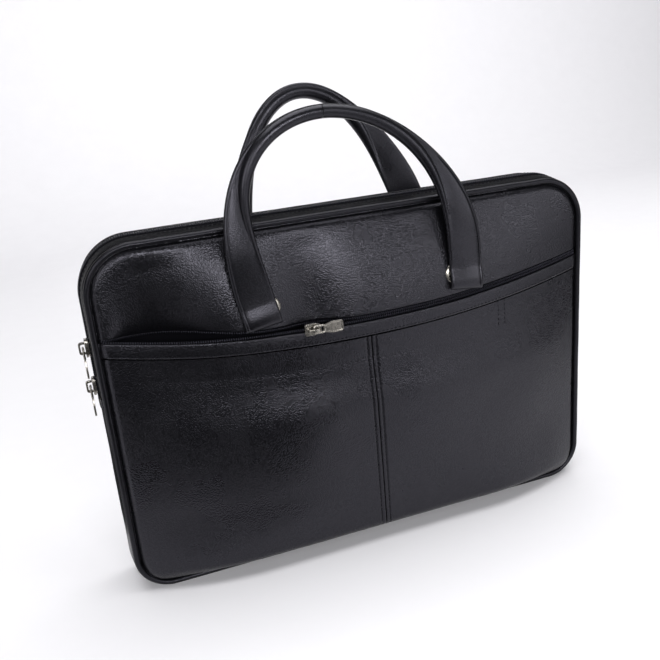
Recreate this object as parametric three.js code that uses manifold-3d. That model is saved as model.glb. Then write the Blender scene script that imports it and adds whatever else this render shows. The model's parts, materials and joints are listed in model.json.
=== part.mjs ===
import * as THREE from 'three';
import { mergeVertices } from 'three/addons/utils/BufferGeometryUtils.js';
import Module from 'manifold-3d';

// An office bag of black leather for a laptop and papers, standing on its base. Sizes are in millimetres.
// X runs along the bag, Y from its front to its back and Z up. "Forward" means towards the front, -Y.
// The origin is on the surface that the bag stands on, under the middle of its depth.

// Body: two panels joined by a gusset
const BODY_WIDTH = 408;
const BODY_HEIGHT = 278;
const GUSSET_DEPTH = 34;
const GUSSET_CROWN = 1.5;
const CORNER_TOP = 38;
const CORNER_BOTTOM = 30;
const CORNER_STEPS = 5;
const LEATHER = 1.8;
const LINING = 1.2;
const GAP = 0.3;
const PIPING_RADIUS = 2.3;
const PIPING_SIDES = 8;

// How finely the soft pieces are divided
const PANEL_COLUMNS = 24;
const UPPER_ROWS = 5;
const POCKET_ROWS = 6;
const BACK_ROWS = 7;
const GUSSET_COLUMNS = 6;
const FACING_COLUMNS = 2;

// How far the stuffed front and back stand out from their seams
const FRONT_PILLOW = 17;
const BACK_PILLOW = 8;
const SHOULDER_SIDE = 170;
const SHOULDER_BOTTOM = 28;
const SHOULDER_TOP = 85;

// Front pocket: its mouth sags between its two ends
const MOUTH_END_HEIGHT = 209.5;
const MOUTH_SAG = 17;
const BAND_HEIGHT = 11.5;
const BAND_PROUD = 0.6;
const BAND_THICKNESS = 2.4;
const SEAM_GAP = 0.4;
const POCKET_DEPTH = 11;
const POCKET_BACK_LAP = 7;
const LAP_GAP = 0.5;
const OPEN_LEFT = -192;
const OPEN_RIGHT = -58;
const OPEN_DIP = 7;
const OPEN_DIP_REACH = 50;
const OPEN_GAPE = 3;
const OPEN_GAPE_REACH = 70;
const OPEN_SPREAD = 2.5;

// Zips: tape, coil, slider and pull
const ZIP_HEIGHT = 5.5;
const ZIP_HEIGHT_LEFT_END = 2.4;
const ZIP_END_HEIGHT = 166;
const ZIP_TAPE_HALF = 7;
const TAPE_THICKNESS = 0.9;
const TAPE_SUNK = 0.6;
const COIL_HALF = 2.6;
const COIL_PROUD = 0.9;
const COIL_TOP_HALF = 1.8;
const POCKET_TAPE_LAP = 4;
const POCKET_COIL_SUNK = 0.3;
const POCKET_COIL_SLOPE = 0.5;
const SLIDER_LENGTH = 13;
const SLIDER_WIDTH = 9;
const SLIDER_LOW = 0.2;
const SLIDER_TOP = 3;
const SLIDER_NOSE = 5.6;
const SLIDER_ROUND = 1.8;
const CHANNEL_HALF = 3.2;
const CHANNEL_TOP = 1.2;
const BRIDGE_LENGTH = 9.2;
const BRIDGE_WIDTH = 2.4;
const BRIDGE_THICKNESS = 1.4;
const BRIDGE_TOP = 7.6;
const BRIDGE_ROUND = 2;
const BRIDGE_CHAMFER = 0.6;
const BRIDGE_ROOT = 0.5;
const PULL_AXIS_HEIGHT = 4.6;
const PULL_LENGTH = 23;
const PULL_WIDTH = 9;
const PULL_EYE_WIDTH = 7;
const PULL_THICKNESS = 1.4;
const PULL_BAR = 1.8;
const PULL_WINDOW_LENGTH = 6.6;
const PULL_WINDOW_WIDTH = 4.2;
const PULL_ROUND = 2;
const PULL_FLARE = 5;
const UPPER_SLIDER_HEIGHT = 202;
const LOWER_SLIDER_HEIGHT = 172;
const POCKET_SLIDER_X = -47;

// Handles: a flat strap, folded into a thicker grip over the top
const STRAP_X = 83;
const STRAP_WIDTH = 28;
const STRAP_THICKNESS = 4;
const STRAP_GAP = 0.5;
const STRAP_FOOT_BULGE = 2.6;
const STRAP_BULGE_HEIGHT = 217;
const STRAP_BULGE_REACH = 14;
const STRAP_LEAVES_PANEL = 248;
const GRIP_THICKNESS = 9;
const GRIP_SIDES = 14;
const STRAP_SQUARENESS = 5;
const GRIP_SQUARENESS = 3;
const HANDLE_STEPS = 36;
const HANDLE_ANGLES = 120;
const LEAN_POWER = 1.5;
const BACK_FOOT_HEIGHT = 200;
const HANDLES = [
  {
    name: 'handle_front', towards: -1, top: 351, fullness: 3.3, bow: 6, gripWidth: 10,
    leanX: -24, leanY: -2, foldLeft: { start: 225, end: 350 }, foldRight: { start: 235, end: 350 },
  },
  {
    name: 'handle_back', towards: 1, top: 363, fullness: 1.7, bow: 0, gripWidth: 12,
    leanX: -15, leanY: 10, foldLeft: { start: 210, end: 350 }, foldRight: { start: 275, end: 362 },
  },
];

// Studs: nickel caps half under the inner edge of each front strap
const STUD_X = 75.5;
const STUD_HEIGHT = 217;
const STUD_RADIUS = 8;
const STUD_PROUD = 1.6;
const STUD_SIDES = 20;
const STUD_RIM = 0.5;
const STUD_DOME_RADIUS = 6.6;
const STUD_FLAT_RADIUS = 3.2;

// Soft dents pressed into the upper panel
const DENTS = [
  { x: -34, z: 232, width: 26, height: 40, depth: 2.6 },
  { x: -140, z: 226, width: 34, height: 30, depth: 1.6 },
  { x: 40, z: 240, width: 44, height: 30, depth: 1.4 },
];

// Sizes that follow from these
const PANEL_INSET = 2 * PIPING_RADIUS + LAP_GAP;
const PANEL_HALF = BODY_WIDTH / 2 - PANEL_INSET;
const PANEL_LOW = PANEL_INSET;
const PANEL_HIGH = BODY_HEIGHT - PANEL_INSET;
const PANEL_CORNER_LOW = CORNER_BOTTOM - PANEL_INSET;
const PANEL_CORNER_HIGH = CORNER_TOP - PANEL_INSET;
const PIPING_FORWARD = GUSSET_DEPTH / 2 + GAP + PIPING_RADIUS;
const SKIN_EDGE = PIPING_FORWARD + LEATHER - GAP;
const TAPE_ROOM = TAPE_THICKNESS + GAP + LAP_GAP;
const POCKET_SLIDER_LIFT = BAND_PROUD + GAP - SLIDER_LOW;

const LEATHER_LOOK = { color: '#1b1b1e', roughness: 0.5, metalness: 0 };
const STRAP_LOOK = { color: '#18181b', roughness: 0.45, metalness: 0 };
const TAPE_LOOK = { color: '#141416', roughness: 0.9, metalness: 0 };
const LINING_LOOK = { color: '#0f0f11', roughness: 0.95, metalness: 0 };
const NICKEL_LOOK = { color: '#c4c1ba', roughness: 0.25, metalness: 1 };

const wasm = await Module();
wasm.setup();
const bag = new THREE.Group();

// Rises from 0 to 1 with a rounded shoulder
function shoulder(t) {
  const rest = 1 - THREE.MathUtils.clamp(t, 0, 1);
  return 1 - rest * rest;
}

// Falls from 1 to 0 and stays there
function fade(t) {
  const rest = 1 - THREE.MathUtils.clamp(t, 0, 1);
  return rest * rest;
}

function pillow(x, z) {
  const side = shoulder((PANEL_HALF - Math.abs(x)) / SHOULDER_SIDE);
  const low = shoulder((z - PANEL_LOW) / SHOULDER_BOTTOM);
  const high = shoulder((PANEL_HIGH - z) / SHOULDER_TOP);
  return side * low * high;
}

// How far the zip of the pocket is open: 1 in the middle of its open stretch, 0 at the slider
function openness(x) {
  const t = THREE.MathUtils.clamp((x - OPEN_LEFT) / (OPEN_RIGHT - OPEN_LEFT), 0, 1);
  return Math.sin(Math.PI * t) ** 2;
}

function mouthHeight(x) {
  return MOUTH_END_HEIGHT - MOUTH_SAG * (1 - (x / PANEL_HALF) ** 2);
}

function zipHeight(x) {
  const towardsLeftEnd = THREE.MathUtils.clamp((OPEN_RIGHT - x) / (OPEN_RIGHT + PANEL_HALF), 0, 1);
  return THREE.MathUtils.lerp(ZIP_HEIGHT, ZIP_HEIGHT_LEFT_END, towardsLeftEnd);
}

function upperPanelFoot(x) {
  return mouthHeight(x) + zipHeight(x) + OPEN_SPREAD * openness(x);
}

// Forward distance of the front's skin, with its zip closed
function skinForward(x, z) {
  return SKIN_EDGE + FRONT_PILLOW * pillow(x, z);
}

// The pocket's front gapes where its zip is open, and the upper panel dips behind it
function pocketForward(x, z) {
  const gape = OPEN_GAPE * openness(x) * fade((mouthHeight(x) - z) / OPEN_GAPE_REACH);
  return skinForward(x, z) + gape;
}

function dentDepth(x, z) {
  let depth = 0;
  for (const dent of DENTS) {
    const distance = Math.hypot((x - dent.x) / dent.width, (z - dent.z) / dent.height);
    depth += dent.depth * Math.exp(-distance * distance);
  }
  return depth * pillow(x, z);
}

function upperForward(x, z) {
  const dip = OPEN_DIP * openness(x) * fade((z - upperPanelFoot(x)) / OPEN_DIP_REACH);
  return skinForward(x, z) - dip - dentDepth(x, z);
}

function backForward(x, z) {
  return SKIN_EDGE + BACK_PILLOW * pillow(x, z);
}

// The pocket's back wall: it hangs behind the upper panel's foot and leaves the pocket its depth below
function pocketBackForward(x, z) {
  const foot = upperPanelFoot(x);
  if (z >= foot) {
    return upperForward(x, z) - LEATHER - TAPE_ROOM;
  }
  const roomAtMouth = skinForward(x, foot) - upperForward(x, foot);
  const roomBelow = POCKET_DEPTH * pillow(x, z);
  const room = THREE.MathUtils.lerp(roomAtMouth, roomBelow, shoulder((foot - z) / SHOULDER_TOP));
  return skinForward(x, z) - LEATHER - TAPE_ROOM - room;
}

// Half the width of a panel at a height, with its rounded corners
function panelHalfWidth(z) {
  const intoLow = PANEL_LOW + PANEL_CORNER_LOW - z;
  const intoHigh = z - (PANEL_HIGH - PANEL_CORNER_HIGH);
  if (intoLow > 0) {
    return PANEL_HALF - PANEL_CORNER_LOW + Math.sqrt(Math.max(0, PANEL_CORNER_LOW ** 2 - intoLow ** 2));
  }
  if (intoHigh > 0) {
    return PANEL_HALF - PANEL_CORNER_HIGH + Math.sqrt(Math.max(0, PANEL_CORNER_HIGH ** 2 - intoHigh ** 2));
  }
  return PANEL_HALF;
}

// Heights of the rows that follow the rounded corners, from the panel's edge inwards
function cornerRise(radius) {
  const rises = [];
  for (let step = 0; step <= CORNER_STEPS; step += 1) {
    rises.push(radius * (1 - Math.cos((step / CORNER_STEPS) * (Math.PI / 2))));
  }
  return rises;
}

function evenSteps(from, to, count) {
  return Array.from({ length: count + 1 }, (_, step) => from + ((to - from) * step) / count);
}

// Builds a closed surface and turns it to face outwards
function closedGeometry(points, triangles) {
  let volume = 0;
  for (const [a, b, c] of triangles) {
    volume += points[a].dot(new THREE.Vector3().crossVectors(points[b], points[c]));
  }
  const facing = volume < 0 ? triangles.map(([a, b, c]) => [a, c, b]) : triangles;
  const geometry = new THREE.BufferGeometry().setFromPoints(points);
  geometry.setIndex(facing.flat());
  geometry.computeVertexNormals();
  return geometry;
}

// A soft sheet on a grid: face(column, row) gives a point of its outer face, and its inner face lies
// a thickness behind that. The sign of `towards` says which way along Y the outer face looks.
function sheetGeometry(columns, rows, thickness, towards, face) {
  const outer = rows.flatMap((row) => columns.map((column) => face(column, row)));
  const inner = outer.map((point) => new THREE.Vector3(point.x, point.y - towards * thickness, point.z));
  const across = columns.length;
  const behind = outer.length;
  const triangles = [];
  for (let row = 0; row + 1 < rows.length; row += 1) {
    for (let column = 0; column + 1 < across; column += 1) {
      const a = row * across + column;
      const b = a + 1;
      const c = a + across + 1;
      const d = a + across;
      triangles.push([a, b, c], [a, c, d]);
      triangles.push([behind + a, behind + c, behind + b], [behind + a, behind + d, behind + c]);
    }
  }
  const last = across * (rows.length - 1);
  const rim = [];
  for (let column = 0; column + 1 < across; column += 1) {
    rim.push([column + 1, column]);
    rim.push([last + column, last + column + 1]);
  }
  for (let row = 0; row + 1 < rows.length; row += 1) {
    rim.push([row * across, (row + 1) * across]);
    rim.push([(row + 2) * across - 1, (row + 1) * across - 1]);
  }
  for (const [a, b] of rim) {
    triangles.push([a, b, behind + b], [a, behind + b, behind + a]);
  }
  return closedGeometry(outer.concat(inner), triangles);
}

// A solid swept through stations: section(station) is an outline in the plane, and place(station, point)
// puts one of its points in space. A closed sweep joins its last station to its first.
function sweepGeometry(stations, section, place, closed = false) {
  const outlines = stations.map((station) => section(station));
  const sides = outlines[0].length;
  const points = stations.flatMap((station, i) => outlines[i].map((point) => place(station, point)));
  const triangles = [];
  const spans = closed ? stations.length : stations.length - 1;
  for (let i = 0; i < spans; i += 1) {
    const here = i * sides;
    const next = ((i + 1) % stations.length) * sides;
    for (let side = 0; side < sides; side += 1) {
      const after = (side + 1) % sides;
      triangles.push([here + side, next + side, next + after], [here + side, next + after, here + after]);
    }
  }
  if (!closed) {
    const end = (stations.length - 1) * sides;
    const turned = THREE.ShapeUtils.isClockWise(outlines[0]);
    for (const [a, b, c] of THREE.ShapeUtils.triangulateShape(outlines[0], [])) {
      triangles.push(turned ? [a, c, b] : [a, b, c]);
    }
    for (const [a, b, c] of THREE.ShapeUtils.triangulateShape(outlines[outlines.length - 1], [])) {
      triangles.push(turned ? [end + a, end + b, end + c] : [end + a, end + c, end + b]);
    }
  }
  return closedGeometry(points, triangles);
}

function toSolid(geometry) {
  const bare = geometry.index ? geometry.clone() : geometry;
  bare.deleteAttribute('normal');
  bare.deleteAttribute('uv');
  const merged = mergeVertices(bare, 1e-4);
  return new wasm.Manifold(new wasm.Mesh({
    numProp: 3,
    vertProperties: Float32Array.from(merged.attributes.position.array),
    triVerts: Uint32Array.from(merged.index.array),
  }));
}

function toGeometry(solid) {
  const mesh = solid.getMesh();
  const geometry = new THREE.BufferGeometry();
  geometry.setAttribute('position', new THREE.BufferAttribute(Float32Array.from(mesh.vertProperties), 3));
  geometry.setIndex(Array.from(mesh.triVerts));
  geometry.computeVertexNormals();
  return geometry;
}

function addPart(name, geometry, look, parent = bag) {
  const mesh = new THREE.Mesh(geometry, new THREE.MeshStandardMaterial(look));
  mesh.name = name;
  parent.add(mesh);
  return mesh;
}

// Stations along the body's outline, each with the outline's point and its outward direction
function sideStation(side, z) {
  return { x: (side * BODY_WIDTH) / 2, z, outX: side, outZ: 0 };
}

function cornerStations(side, low) {
  const radius = low ? CORNER_BOTTOM : CORNER_TOP;
  const centreX = side * (BODY_WIDTH / 2 - radius);
  const centreZ = low ? radius : BODY_HEIGHT - radius;
  return evenSteps(0, 1, CORNER_STEPS).map((t) => {
    const outX = side * Math.cos((t * Math.PI) / 2);
    const outZ = (low ? -1 : 1) * Math.sin((t * Math.PI) / 2);
    return { x: centreX + radius * outX, z: centreZ + radius * outZ, outX, outZ };
  });
}

const LOWER_STATIONS = [
  sideStation(-1, ZIP_END_HEIGHT - GAP),
  ...cornerStations(-1, true),
  ...cornerStations(1, true).reverse(),
  sideStation(1, ZIP_END_HEIGHT - GAP),
];
const UPPER_STATIONS = [
  sideStation(-1, ZIP_END_HEIGHT),
  ...cornerStations(-1, false),
  ...cornerStations(1, false).reverse(),
  sideStation(1, ZIP_END_HEIGHT),
];

// A point of a gusset section: x is the place across the depth, y the height above the outline
function onGusset(station, point) {
  const crown = GUSSET_CROWN * (1 - (point.x / (GUSSET_DEPTH / 2)) ** 2) * (1 + Math.min(0, station.outZ));
  const height = point.y + crown;
  return new THREE.Vector3(station.x + station.outX * height, point.x, station.z + station.outZ * height);
}

// A leather strip of the gusset between two places across its depth
function stripSection(from, to, steps) {
  const across = evenSteps(from, to, steps);
  const outer = across.map((y) => new THREE.Vector2(y, 0));
  const inner = across.reverse().map((y) => new THREE.Vector2(y, -LEATHER));
  return outer.concat(inner);
}

function addGusset() {
  const half = GUSSET_DEPTH / 2;
  const facing = ZIP_TAPE_HALF + GAP;
  addPart(
    'gusset',
    sweepGeometry(LOWER_STATIONS, () => stripSection(-half, half, GUSSET_COLUMNS), onGusset),
    LEATHER_LOOK,
  );
  addPart(
    'zip_facing_front',
    sweepGeometry(UPPER_STATIONS, () => stripSection(-half, -facing, FACING_COLUMNS), onGusset),
    LEATHER_LOOK,
  );
  addPart(
    'zip_facing_back',
    sweepGeometry(UPPER_STATIONS, () => stripSection(facing, half, FACING_COLUMNS), onGusset),
    LEATHER_LOOK,
  );
}

// The closed main zip: a tape with the coil standing up along its middle
function addMainZip() {
  const section = [
    new THREE.Vector2(-ZIP_TAPE_HALF, -TAPE_SUNK),
    new THREE.Vector2(-COIL_HALF, -TAPE_SUNK),
    new THREE.Vector2(-COIL_TOP_HALF, COIL_PROUD),
    new THREE.Vector2(COIL_TOP_HALF, COIL_PROUD),
    new THREE.Vector2(COIL_HALF, -TAPE_SUNK),
    new THREE.Vector2(ZIP_TAPE_HALF, -TAPE_SUNK),
    new THREE.Vector2(ZIP_TAPE_HALF, -TAPE_SUNK - TAPE_THICKNESS),
    new THREE.Vector2(-ZIP_TAPE_HALF, -TAPE_SUNK - TAPE_THICKNESS),
  ];
  addPart('main_zip', sweepGeometry(UPPER_STATIONS, () => section, onGusset), TAPE_LOOK);
}

function addPiping() {
  const ring = [
    ...cornerStations(-1, true),
    ...cornerStations(1, true).reverse(),
    ...cornerStations(1, false),
    ...cornerStations(-1, false).reverse(),
  ];
  const circle = evenSteps(0, 2 * Math.PI, PIPING_SIDES)
    .slice(0, PIPING_SIDES)
    .map((angle) => new THREE.Vector2(PIPING_RADIUS * Math.cos(angle), PIPING_RADIUS * Math.sin(angle)));
  const edges = [{ name: 'piping_front', towards: -1 }, { name: 'piping_back', towards: 1 }];
  for (const { name, towards } of edges) {
    const place = (station, point) => {
      const height = point.y - PIPING_RADIUS;
      const y = towards * PIPING_FORWARD + point.x;
      return new THREE.Vector3(station.x + station.outX * height, y, station.z + station.outZ * height);
    };
    addPart(name, sweepGeometry(ring, () => circle, place, true), LEATHER_LOOK);
  }
}

const COLUMNS = evenSteps(-1, 1, PANEL_COLUMNS);
const LOW_ROWS = cornerRise(PANEL_CORNER_LOW).map((rise) => PANEL_LOW + rise);
const HIGH_ROWS = cornerRise(PANEL_CORNER_HIGH).map((rise) => PANEL_HIGH - rise).reverse();

function addBackPanel() {
  const middle = evenSteps(LOW_ROWS[CORNER_STEPS], HIGH_ROWS[0], BACK_ROWS).slice(1, -1);
  const face = (column, z) => {
    const x = column * panelHalfWidth(z);
    return new THREE.Vector3(x, backForward(x, z), z);
  };
  const rows = [...LOW_ROWS, ...middle, ...HIGH_ROWS];
  addPart('back_panel', sheetGeometry(COLUMNS, rows, LEATHER, 1, face), LEATHER_LOOK);
}

// Rows that start at the mouth are given as fractions of the way to a fixed height
function addUpperPanel() {
  const fixed = HIGH_ROWS[0];
  const rows = [...evenSteps(0, 1, UPPER_ROWS).map((t) => t - 1), ...HIGH_ROWS.slice(1)];
  const face = (column, row) => {
    const foot = upperPanelFoot(column * PANEL_HALF);
    const z = row <= 0 ? THREE.MathUtils.lerp(foot, fixed, row + 1) : row;
    const x = column * panelHalfWidth(z);
    return new THREE.Vector3(x, -upperForward(x, z), z);
  };
  addPart('upper_panel', sheetGeometry(COLUMNS, rows, LEATHER, -1, face), LEATHER_LOOK);
}

// The pocket is two panels that meet at a seam down the middle, on a back wall of lining cloth
function addPocket() {
  const fixed = LOW_ROWS[CORNER_STEPS];
  const risen = (steps) => evenSteps(0, 1, steps).slice(1);
  const heightOf = (row, top) => (row <= 1 ? THREE.MathUtils.lerp(fixed, top, row) : row);
  const rowsUp = (steps) => [...LOW_ROWS, ...risen(steps)];
  const halfColumns = evenSteps(0, 1, PANEL_COLUMNS / 2);
  for (const { name, side } of [{ name: 'pocket_left', side: -1 }, { name: 'pocket_right', side: 1 }]) {
    const face = (column, row) => {
      const top = mouthHeight(column * PANEL_HALF) - BAND_HEIGHT - SEAM_GAP;
      const z = heightOf(row, top);
      const inner = (side * SEAM_GAP) / 2;
      const x = inner + side * column * (panelHalfWidth(z) - SEAM_GAP / 2);
      return new THREE.Vector3(x, -pocketForward(x, z), z);
    };
    addPart(name, sheetGeometry(halfColumns, rowsUp(POCKET_ROWS), LEATHER, -1, face), LEATHER_LOOK);
  }
  const lap = 'lap';
  const backFace = (column, row) => {
    const foot = upperPanelFoot(column * PANEL_HALF);
    const z = row === lap ? foot + POCKET_BACK_LAP : heightOf(row, foot);
    const x = column * panelHalfWidth(z);
    return new THREE.Vector3(x, -pocketBackForward(x, z), z);
  };
  const backRows = [...rowsUp(POCKET_ROWS), lap];
  addPart('pocket_back', sheetGeometry(COLUMNS, backRows, LINING, -1, backFace), LINING_LOOK);
  const bandFace = (column, row) => {
    const x = column * PANEL_HALF;
    const z = mouthHeight(x) - row * BAND_HEIGHT;
    return new THREE.Vector3(x, -pocketForward(x, z) - BAND_PROUD, z);
  };
  addPart('pocket_band', sheetGeometry(COLUMNS, [0, 0.5, 1], BAND_THICKNESS, -1, bandFace), LEATHER_LOOK);
}

// The pocket's zip: two tapes with half of the coil on each, closed to the right of the slider.
// A section's x is the distance from the leather's edge towards the coil, its y the height above the skin.
// The tape itself lies behind the leather that it is sewn to.
function addPocketZip() {
  const xs = COLUMNS.map((column) => column * (PANEL_HALF - GAP));
  const face = -LEATHER - GAP;
  const below = face - TAPE_THICKNESS;
  const section = (x) => {
    const reach = (zipHeight(x) - GAP) / 2;
    const coilFrom = Math.max(GAP, reach - COIL_HALF);
    return [
      new THREE.Vector2(-POCKET_TAPE_LAP, face),
      new THREE.Vector2(coilFrom, face),
      new THREE.Vector2(coilFrom + POCKET_COIL_SLOPE, -POCKET_COIL_SUNK),
      new THREE.Vector2(reach, -POCKET_COIL_SUNK),
      new THREE.Vector2(reach, below),
      new THREE.Vector2(-POCKET_TAPE_LAP, below),
    ];
  };
  const upper = (x, point) => {
    const z = upperPanelFoot(x) - point.x;
    return new THREE.Vector3(x, -upperForward(x, z) - point.y, z);
  };
  const lower = (x, point) => {
    const z = mouthHeight(x) + point.x;
    return new THREE.Vector3(x, -pocketForward(x, z) - point.y, z);
  };
  addPart('pocket_zip_upper', sweepGeometry(xs, section, upper), TAPE_LOOK);
  addPart('pocket_zip_lower', sweepGeometry(xs, section, lower), TAPE_LOOK);
}

// A slider in its own frame: X along the zip, Y across it and Z out of it, from the tape's outline
function sliderGeometry() {
  const half = SLIDER_LENGTH / 2;
  const wide = SLIDER_WIDTH / 2;
  const plan = new THREE.Shape();
  plan.moveTo(-half, -SLIDER_NOSE / 2);
  plan.lineTo(-SLIDER_ROUND, -wide);
  plan.lineTo(half - SLIDER_ROUND, -wide);
  plan.quadraticCurveTo(half, -wide, half, -wide + SLIDER_ROUND);
  plan.lineTo(half, wide - SLIDER_ROUND);
  plan.quadraticCurveTo(half, wide, half - SLIDER_ROUND, wide);
  plan.lineTo(-SLIDER_ROUND, wide);
  plan.lineTo(-half, SLIDER_NOSE / 2);
  plan.closePath();
  const plate = new THREE.ExtrudeGeometry(plan, {
    depth: SLIDER_TOP - SLIDER_LOW, bevelEnabled: false, curveSegments: 3,
  });
  plate.translate(0, 0, SLIDER_LOW);
  const channel = new THREE.BoxGeometry(2 * SLIDER_LENGTH, 2 * CHANNEL_HALF, 2 * CHANNEL_TOP);
  const reach = BRIDGE_LENGTH / 2;
  const under = BRIDGE_TOP - BRIDGE_THICKNESS;
  const sunk = SLIDER_TOP - BRIDGE_ROOT;
  const inside = reach - BRIDGE_THICKNESS;
  const arch = new THREE.Shape();
  arch.moveTo(-reach, sunk);
  arch.lineTo(-reach, BRIDGE_TOP - BRIDGE_ROUND);
  arch.quadraticCurveTo(-reach, BRIDGE_TOP, -reach + BRIDGE_ROUND, BRIDGE_TOP);
  arch.lineTo(reach - BRIDGE_ROUND, BRIDGE_TOP);
  arch.quadraticCurveTo(reach, BRIDGE_TOP, reach, BRIDGE_TOP - BRIDGE_ROUND);
  arch.lineTo(reach, sunk);
  arch.lineTo(inside, sunk);
  arch.lineTo(inside, under - BRIDGE_CHAMFER);
  arch.lineTo(inside - BRIDGE_CHAMFER, under);
  arch.lineTo(-inside + BRIDGE_CHAMFER, under);
  arch.lineTo(-inside, under - BRIDGE_CHAMFER);
  arch.lineTo(-inside, sunk);
  arch.closePath();
  const bridge = new THREE.ExtrudeGeometry(arch, {
    depth: BRIDGE_WIDTH, bevelEnabled: false, curveSegments: 3,
  });
  bridge.rotateX(Math.PI / 2);
  bridge.translate(0, BRIDGE_WIDTH / 2, 0);
  return toGeometry(toSolid(plate).subtract(toSolid(channel)).add(toSolid(bridge)));
}

// A pull in its slider's frame, lying flat along -X from its bar under the slider's bridge
function pullGeometry() {
  const bar = PULL_BAR / 2;
  const eye = PULL_EYE_WIDTH / 2;
  const wide = PULL_WIDTH / 2;
  const neck = -PULL_BAR - PULL_WINDOW_LENGTH;
  const plan = new THREE.Shape();
  const end = -PULL_LENGTH;
  plan.moveTo(bar, -eye);
  plan.lineTo(bar, eye);
  plan.lineTo(neck, eye);
  plan.quadraticCurveTo(neck - PULL_FLARE / 2, wide, neck - PULL_FLARE, wide);
  plan.lineTo(end + PULL_ROUND, wide);
  plan.quadraticCurveTo(end, wide, end, wide - PULL_ROUND);
  plan.lineTo(end, -wide + PULL_ROUND);
  plan.quadraticCurveTo(end, -wide, end + PULL_ROUND, -wide);
  plan.lineTo(neck - PULL_FLARE, -wide);
  plan.quadraticCurveTo(neck - PULL_FLARE / 2, -wide, neck, -eye);
  plan.closePath();
  const window = new THREE.Path();
  const open = PULL_WINDOW_WIDTH / 2;
  window.moveTo(-bar, -open);
  window.lineTo(-bar - PULL_WINDOW_LENGTH, -open);
  window.lineTo(-bar - PULL_WINDOW_LENGTH, open);
  window.lineTo(-bar, open);
  window.closePath();
  plan.holes.push(window);
  const pull = new THREE.ExtrudeGeometry(plan, {
    depth: PULL_THICKNESS, bevelEnabled: false, curveSegments: 4,
  });
  pull.translate(0, 0, PULL_AXIS_HEIGHT - PULL_THICKNESS / 2);
  return toGeometry(toSolid(pull));
}

// Places a slider and its pull: `along` is the slider's X and `out` its Z in the bag's frame
function addSlider(name, position, along, out) {
  const group = new THREE.Group();
  const across = new THREE.Vector3().crossVectors(out, along);
  group.position.copy(position);
  group.rotation.setFromRotationMatrix(new THREE.Matrix4().makeBasis(along, across, out));
  addPart(`${name}_slider`, sliderGeometry(), NICKEL_LOOK, group);
  addPart(`${name}_pull`, pullGeometry(), NICKEL_LOOK, group);
  bag.add(group);
}

function addSliders() {
  const up = new THREE.Vector3(0, 0, 1);
  const left = new THREE.Vector3(-1, 0, 0);
  const front = new THREE.Vector3(0, -1, 0);
  const side = -BODY_WIDTH / 2 - GUSSET_CROWN;
  addSlider('upper', new THREE.Vector3(side, 0, UPPER_SLIDER_HEIGHT), up, left);
  addSlider('lower', new THREE.Vector3(side, 0, LOWER_SLIDER_HEIGHT), up, left);
  const middle = mouthHeight(POCKET_SLIDER_X) + ZIP_HEIGHT / 2;
  const forward = pocketForward(POCKET_SLIDER_X, middle) + POCKET_SLIDER_LIFT;
  addSlider('pocket', new THREE.Vector3(POCKET_SLIDER_X, -forward, middle), left, front);
}

// A handle's middle line, from its left foot over the arch to its right foot. At a rise of 0 it stands on
// its feet and at 1 it is at its top; a fuller arch keeps its width for longer, and its legs bow outwards.
function handleStations({ towards, top, fullness, bow, gripWidth, leanX, leanY, foldLeft, foldRight }) {
  const front = towards < 0;
  const foot = front ? upperPanelFoot(STRAP_X) + STRAP_GAP : BACK_FOOT_HEIGHT;
  const surface = front ? upperForward : backForward;
  const riseAt = (z) => THREE.MathUtils.clamp((z - foot) / (top - foot), 0, 1);
  const lineX = (side, rise) => {
    const reach = STRAP_X * Math.sqrt(1 - rise ** fullness) + bow * Math.sin(Math.PI * rise);
    return side * reach + leanX * rise ** LEAN_POWER;
  };
  const line = evenSteps(Math.PI, 0, HANDLE_ANGLES).map((angle) => {
    const rise = Math.sin(angle) ** (2 / fullness);
    return new THREE.Vector3(lineX(Math.sign(Math.cos(angle)), rise), 0, foot + (top - foot) * rise);
  });
  return new THREE.CatmullRomCurve3(line).getSpacedPoints(HANDLE_STEPS).map(({ x, z }) => {
    const side = x < leanX ? -1 : 1;
    const fold = side < 0 ? foldLeft : foldRight;
    const folded = THREE.MathUtils.smoothstep(z, fold.start, fold.end);
    const width = THREE.MathUtils.lerp(STRAP_WIDTH, gripWidth, folded);
    const thickness = THREE.MathUtils.lerp(STRAP_THICKNESS, GRIP_THICKNESS, folded);
    const restsAt = Math.min(z, STRAP_LEAVES_PANEL);
    const restX = lineX(side, riseAt(restsAt));
    const under = [-width / 2, 0, width / 2].map((across) => surface(restX + across, restsAt));
    const fromBulge = (z - STRAP_BULGE_HEIGHT) / STRAP_BULGE_REACH;
    const bulge = front ? STRAP_FOOT_BULGE * Math.exp(-(fromBulge ** 2)) : 0;
    const back = Math.max(...under) + STRAP_GAP + bulge;
    const forward = back + STRAP_THICKNESS / 2 + (thickness - STRAP_THICKNESS) / 4;
    return { x, y: towards * forward + leanY * riseAt(z) ** LEAN_POWER, z, width, thickness };
  });
}

// The strap's section: a flat rounded bar that turns into a rounder grip
function strapSection({ width, thickness }) {
  const folded = (thickness - STRAP_THICKNESS) / (GRIP_THICKNESS - STRAP_THICKNESS);
  const squareness = THREE.MathUtils.lerp(STRAP_SQUARENESS, GRIP_SQUARENESS, folded);
  const corner = (value) => Math.sign(value) * Math.abs(value) ** (2 / squareness);
  return evenSteps(0, 2 * Math.PI, GRIP_SIDES).slice(0, GRIP_SIDES).map((angle) => new THREE.Vector2(
    (width / 2) * corner(Math.cos(angle)),
    (thickness / 2) * corner(Math.sin(angle)),
  ));
}

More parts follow.
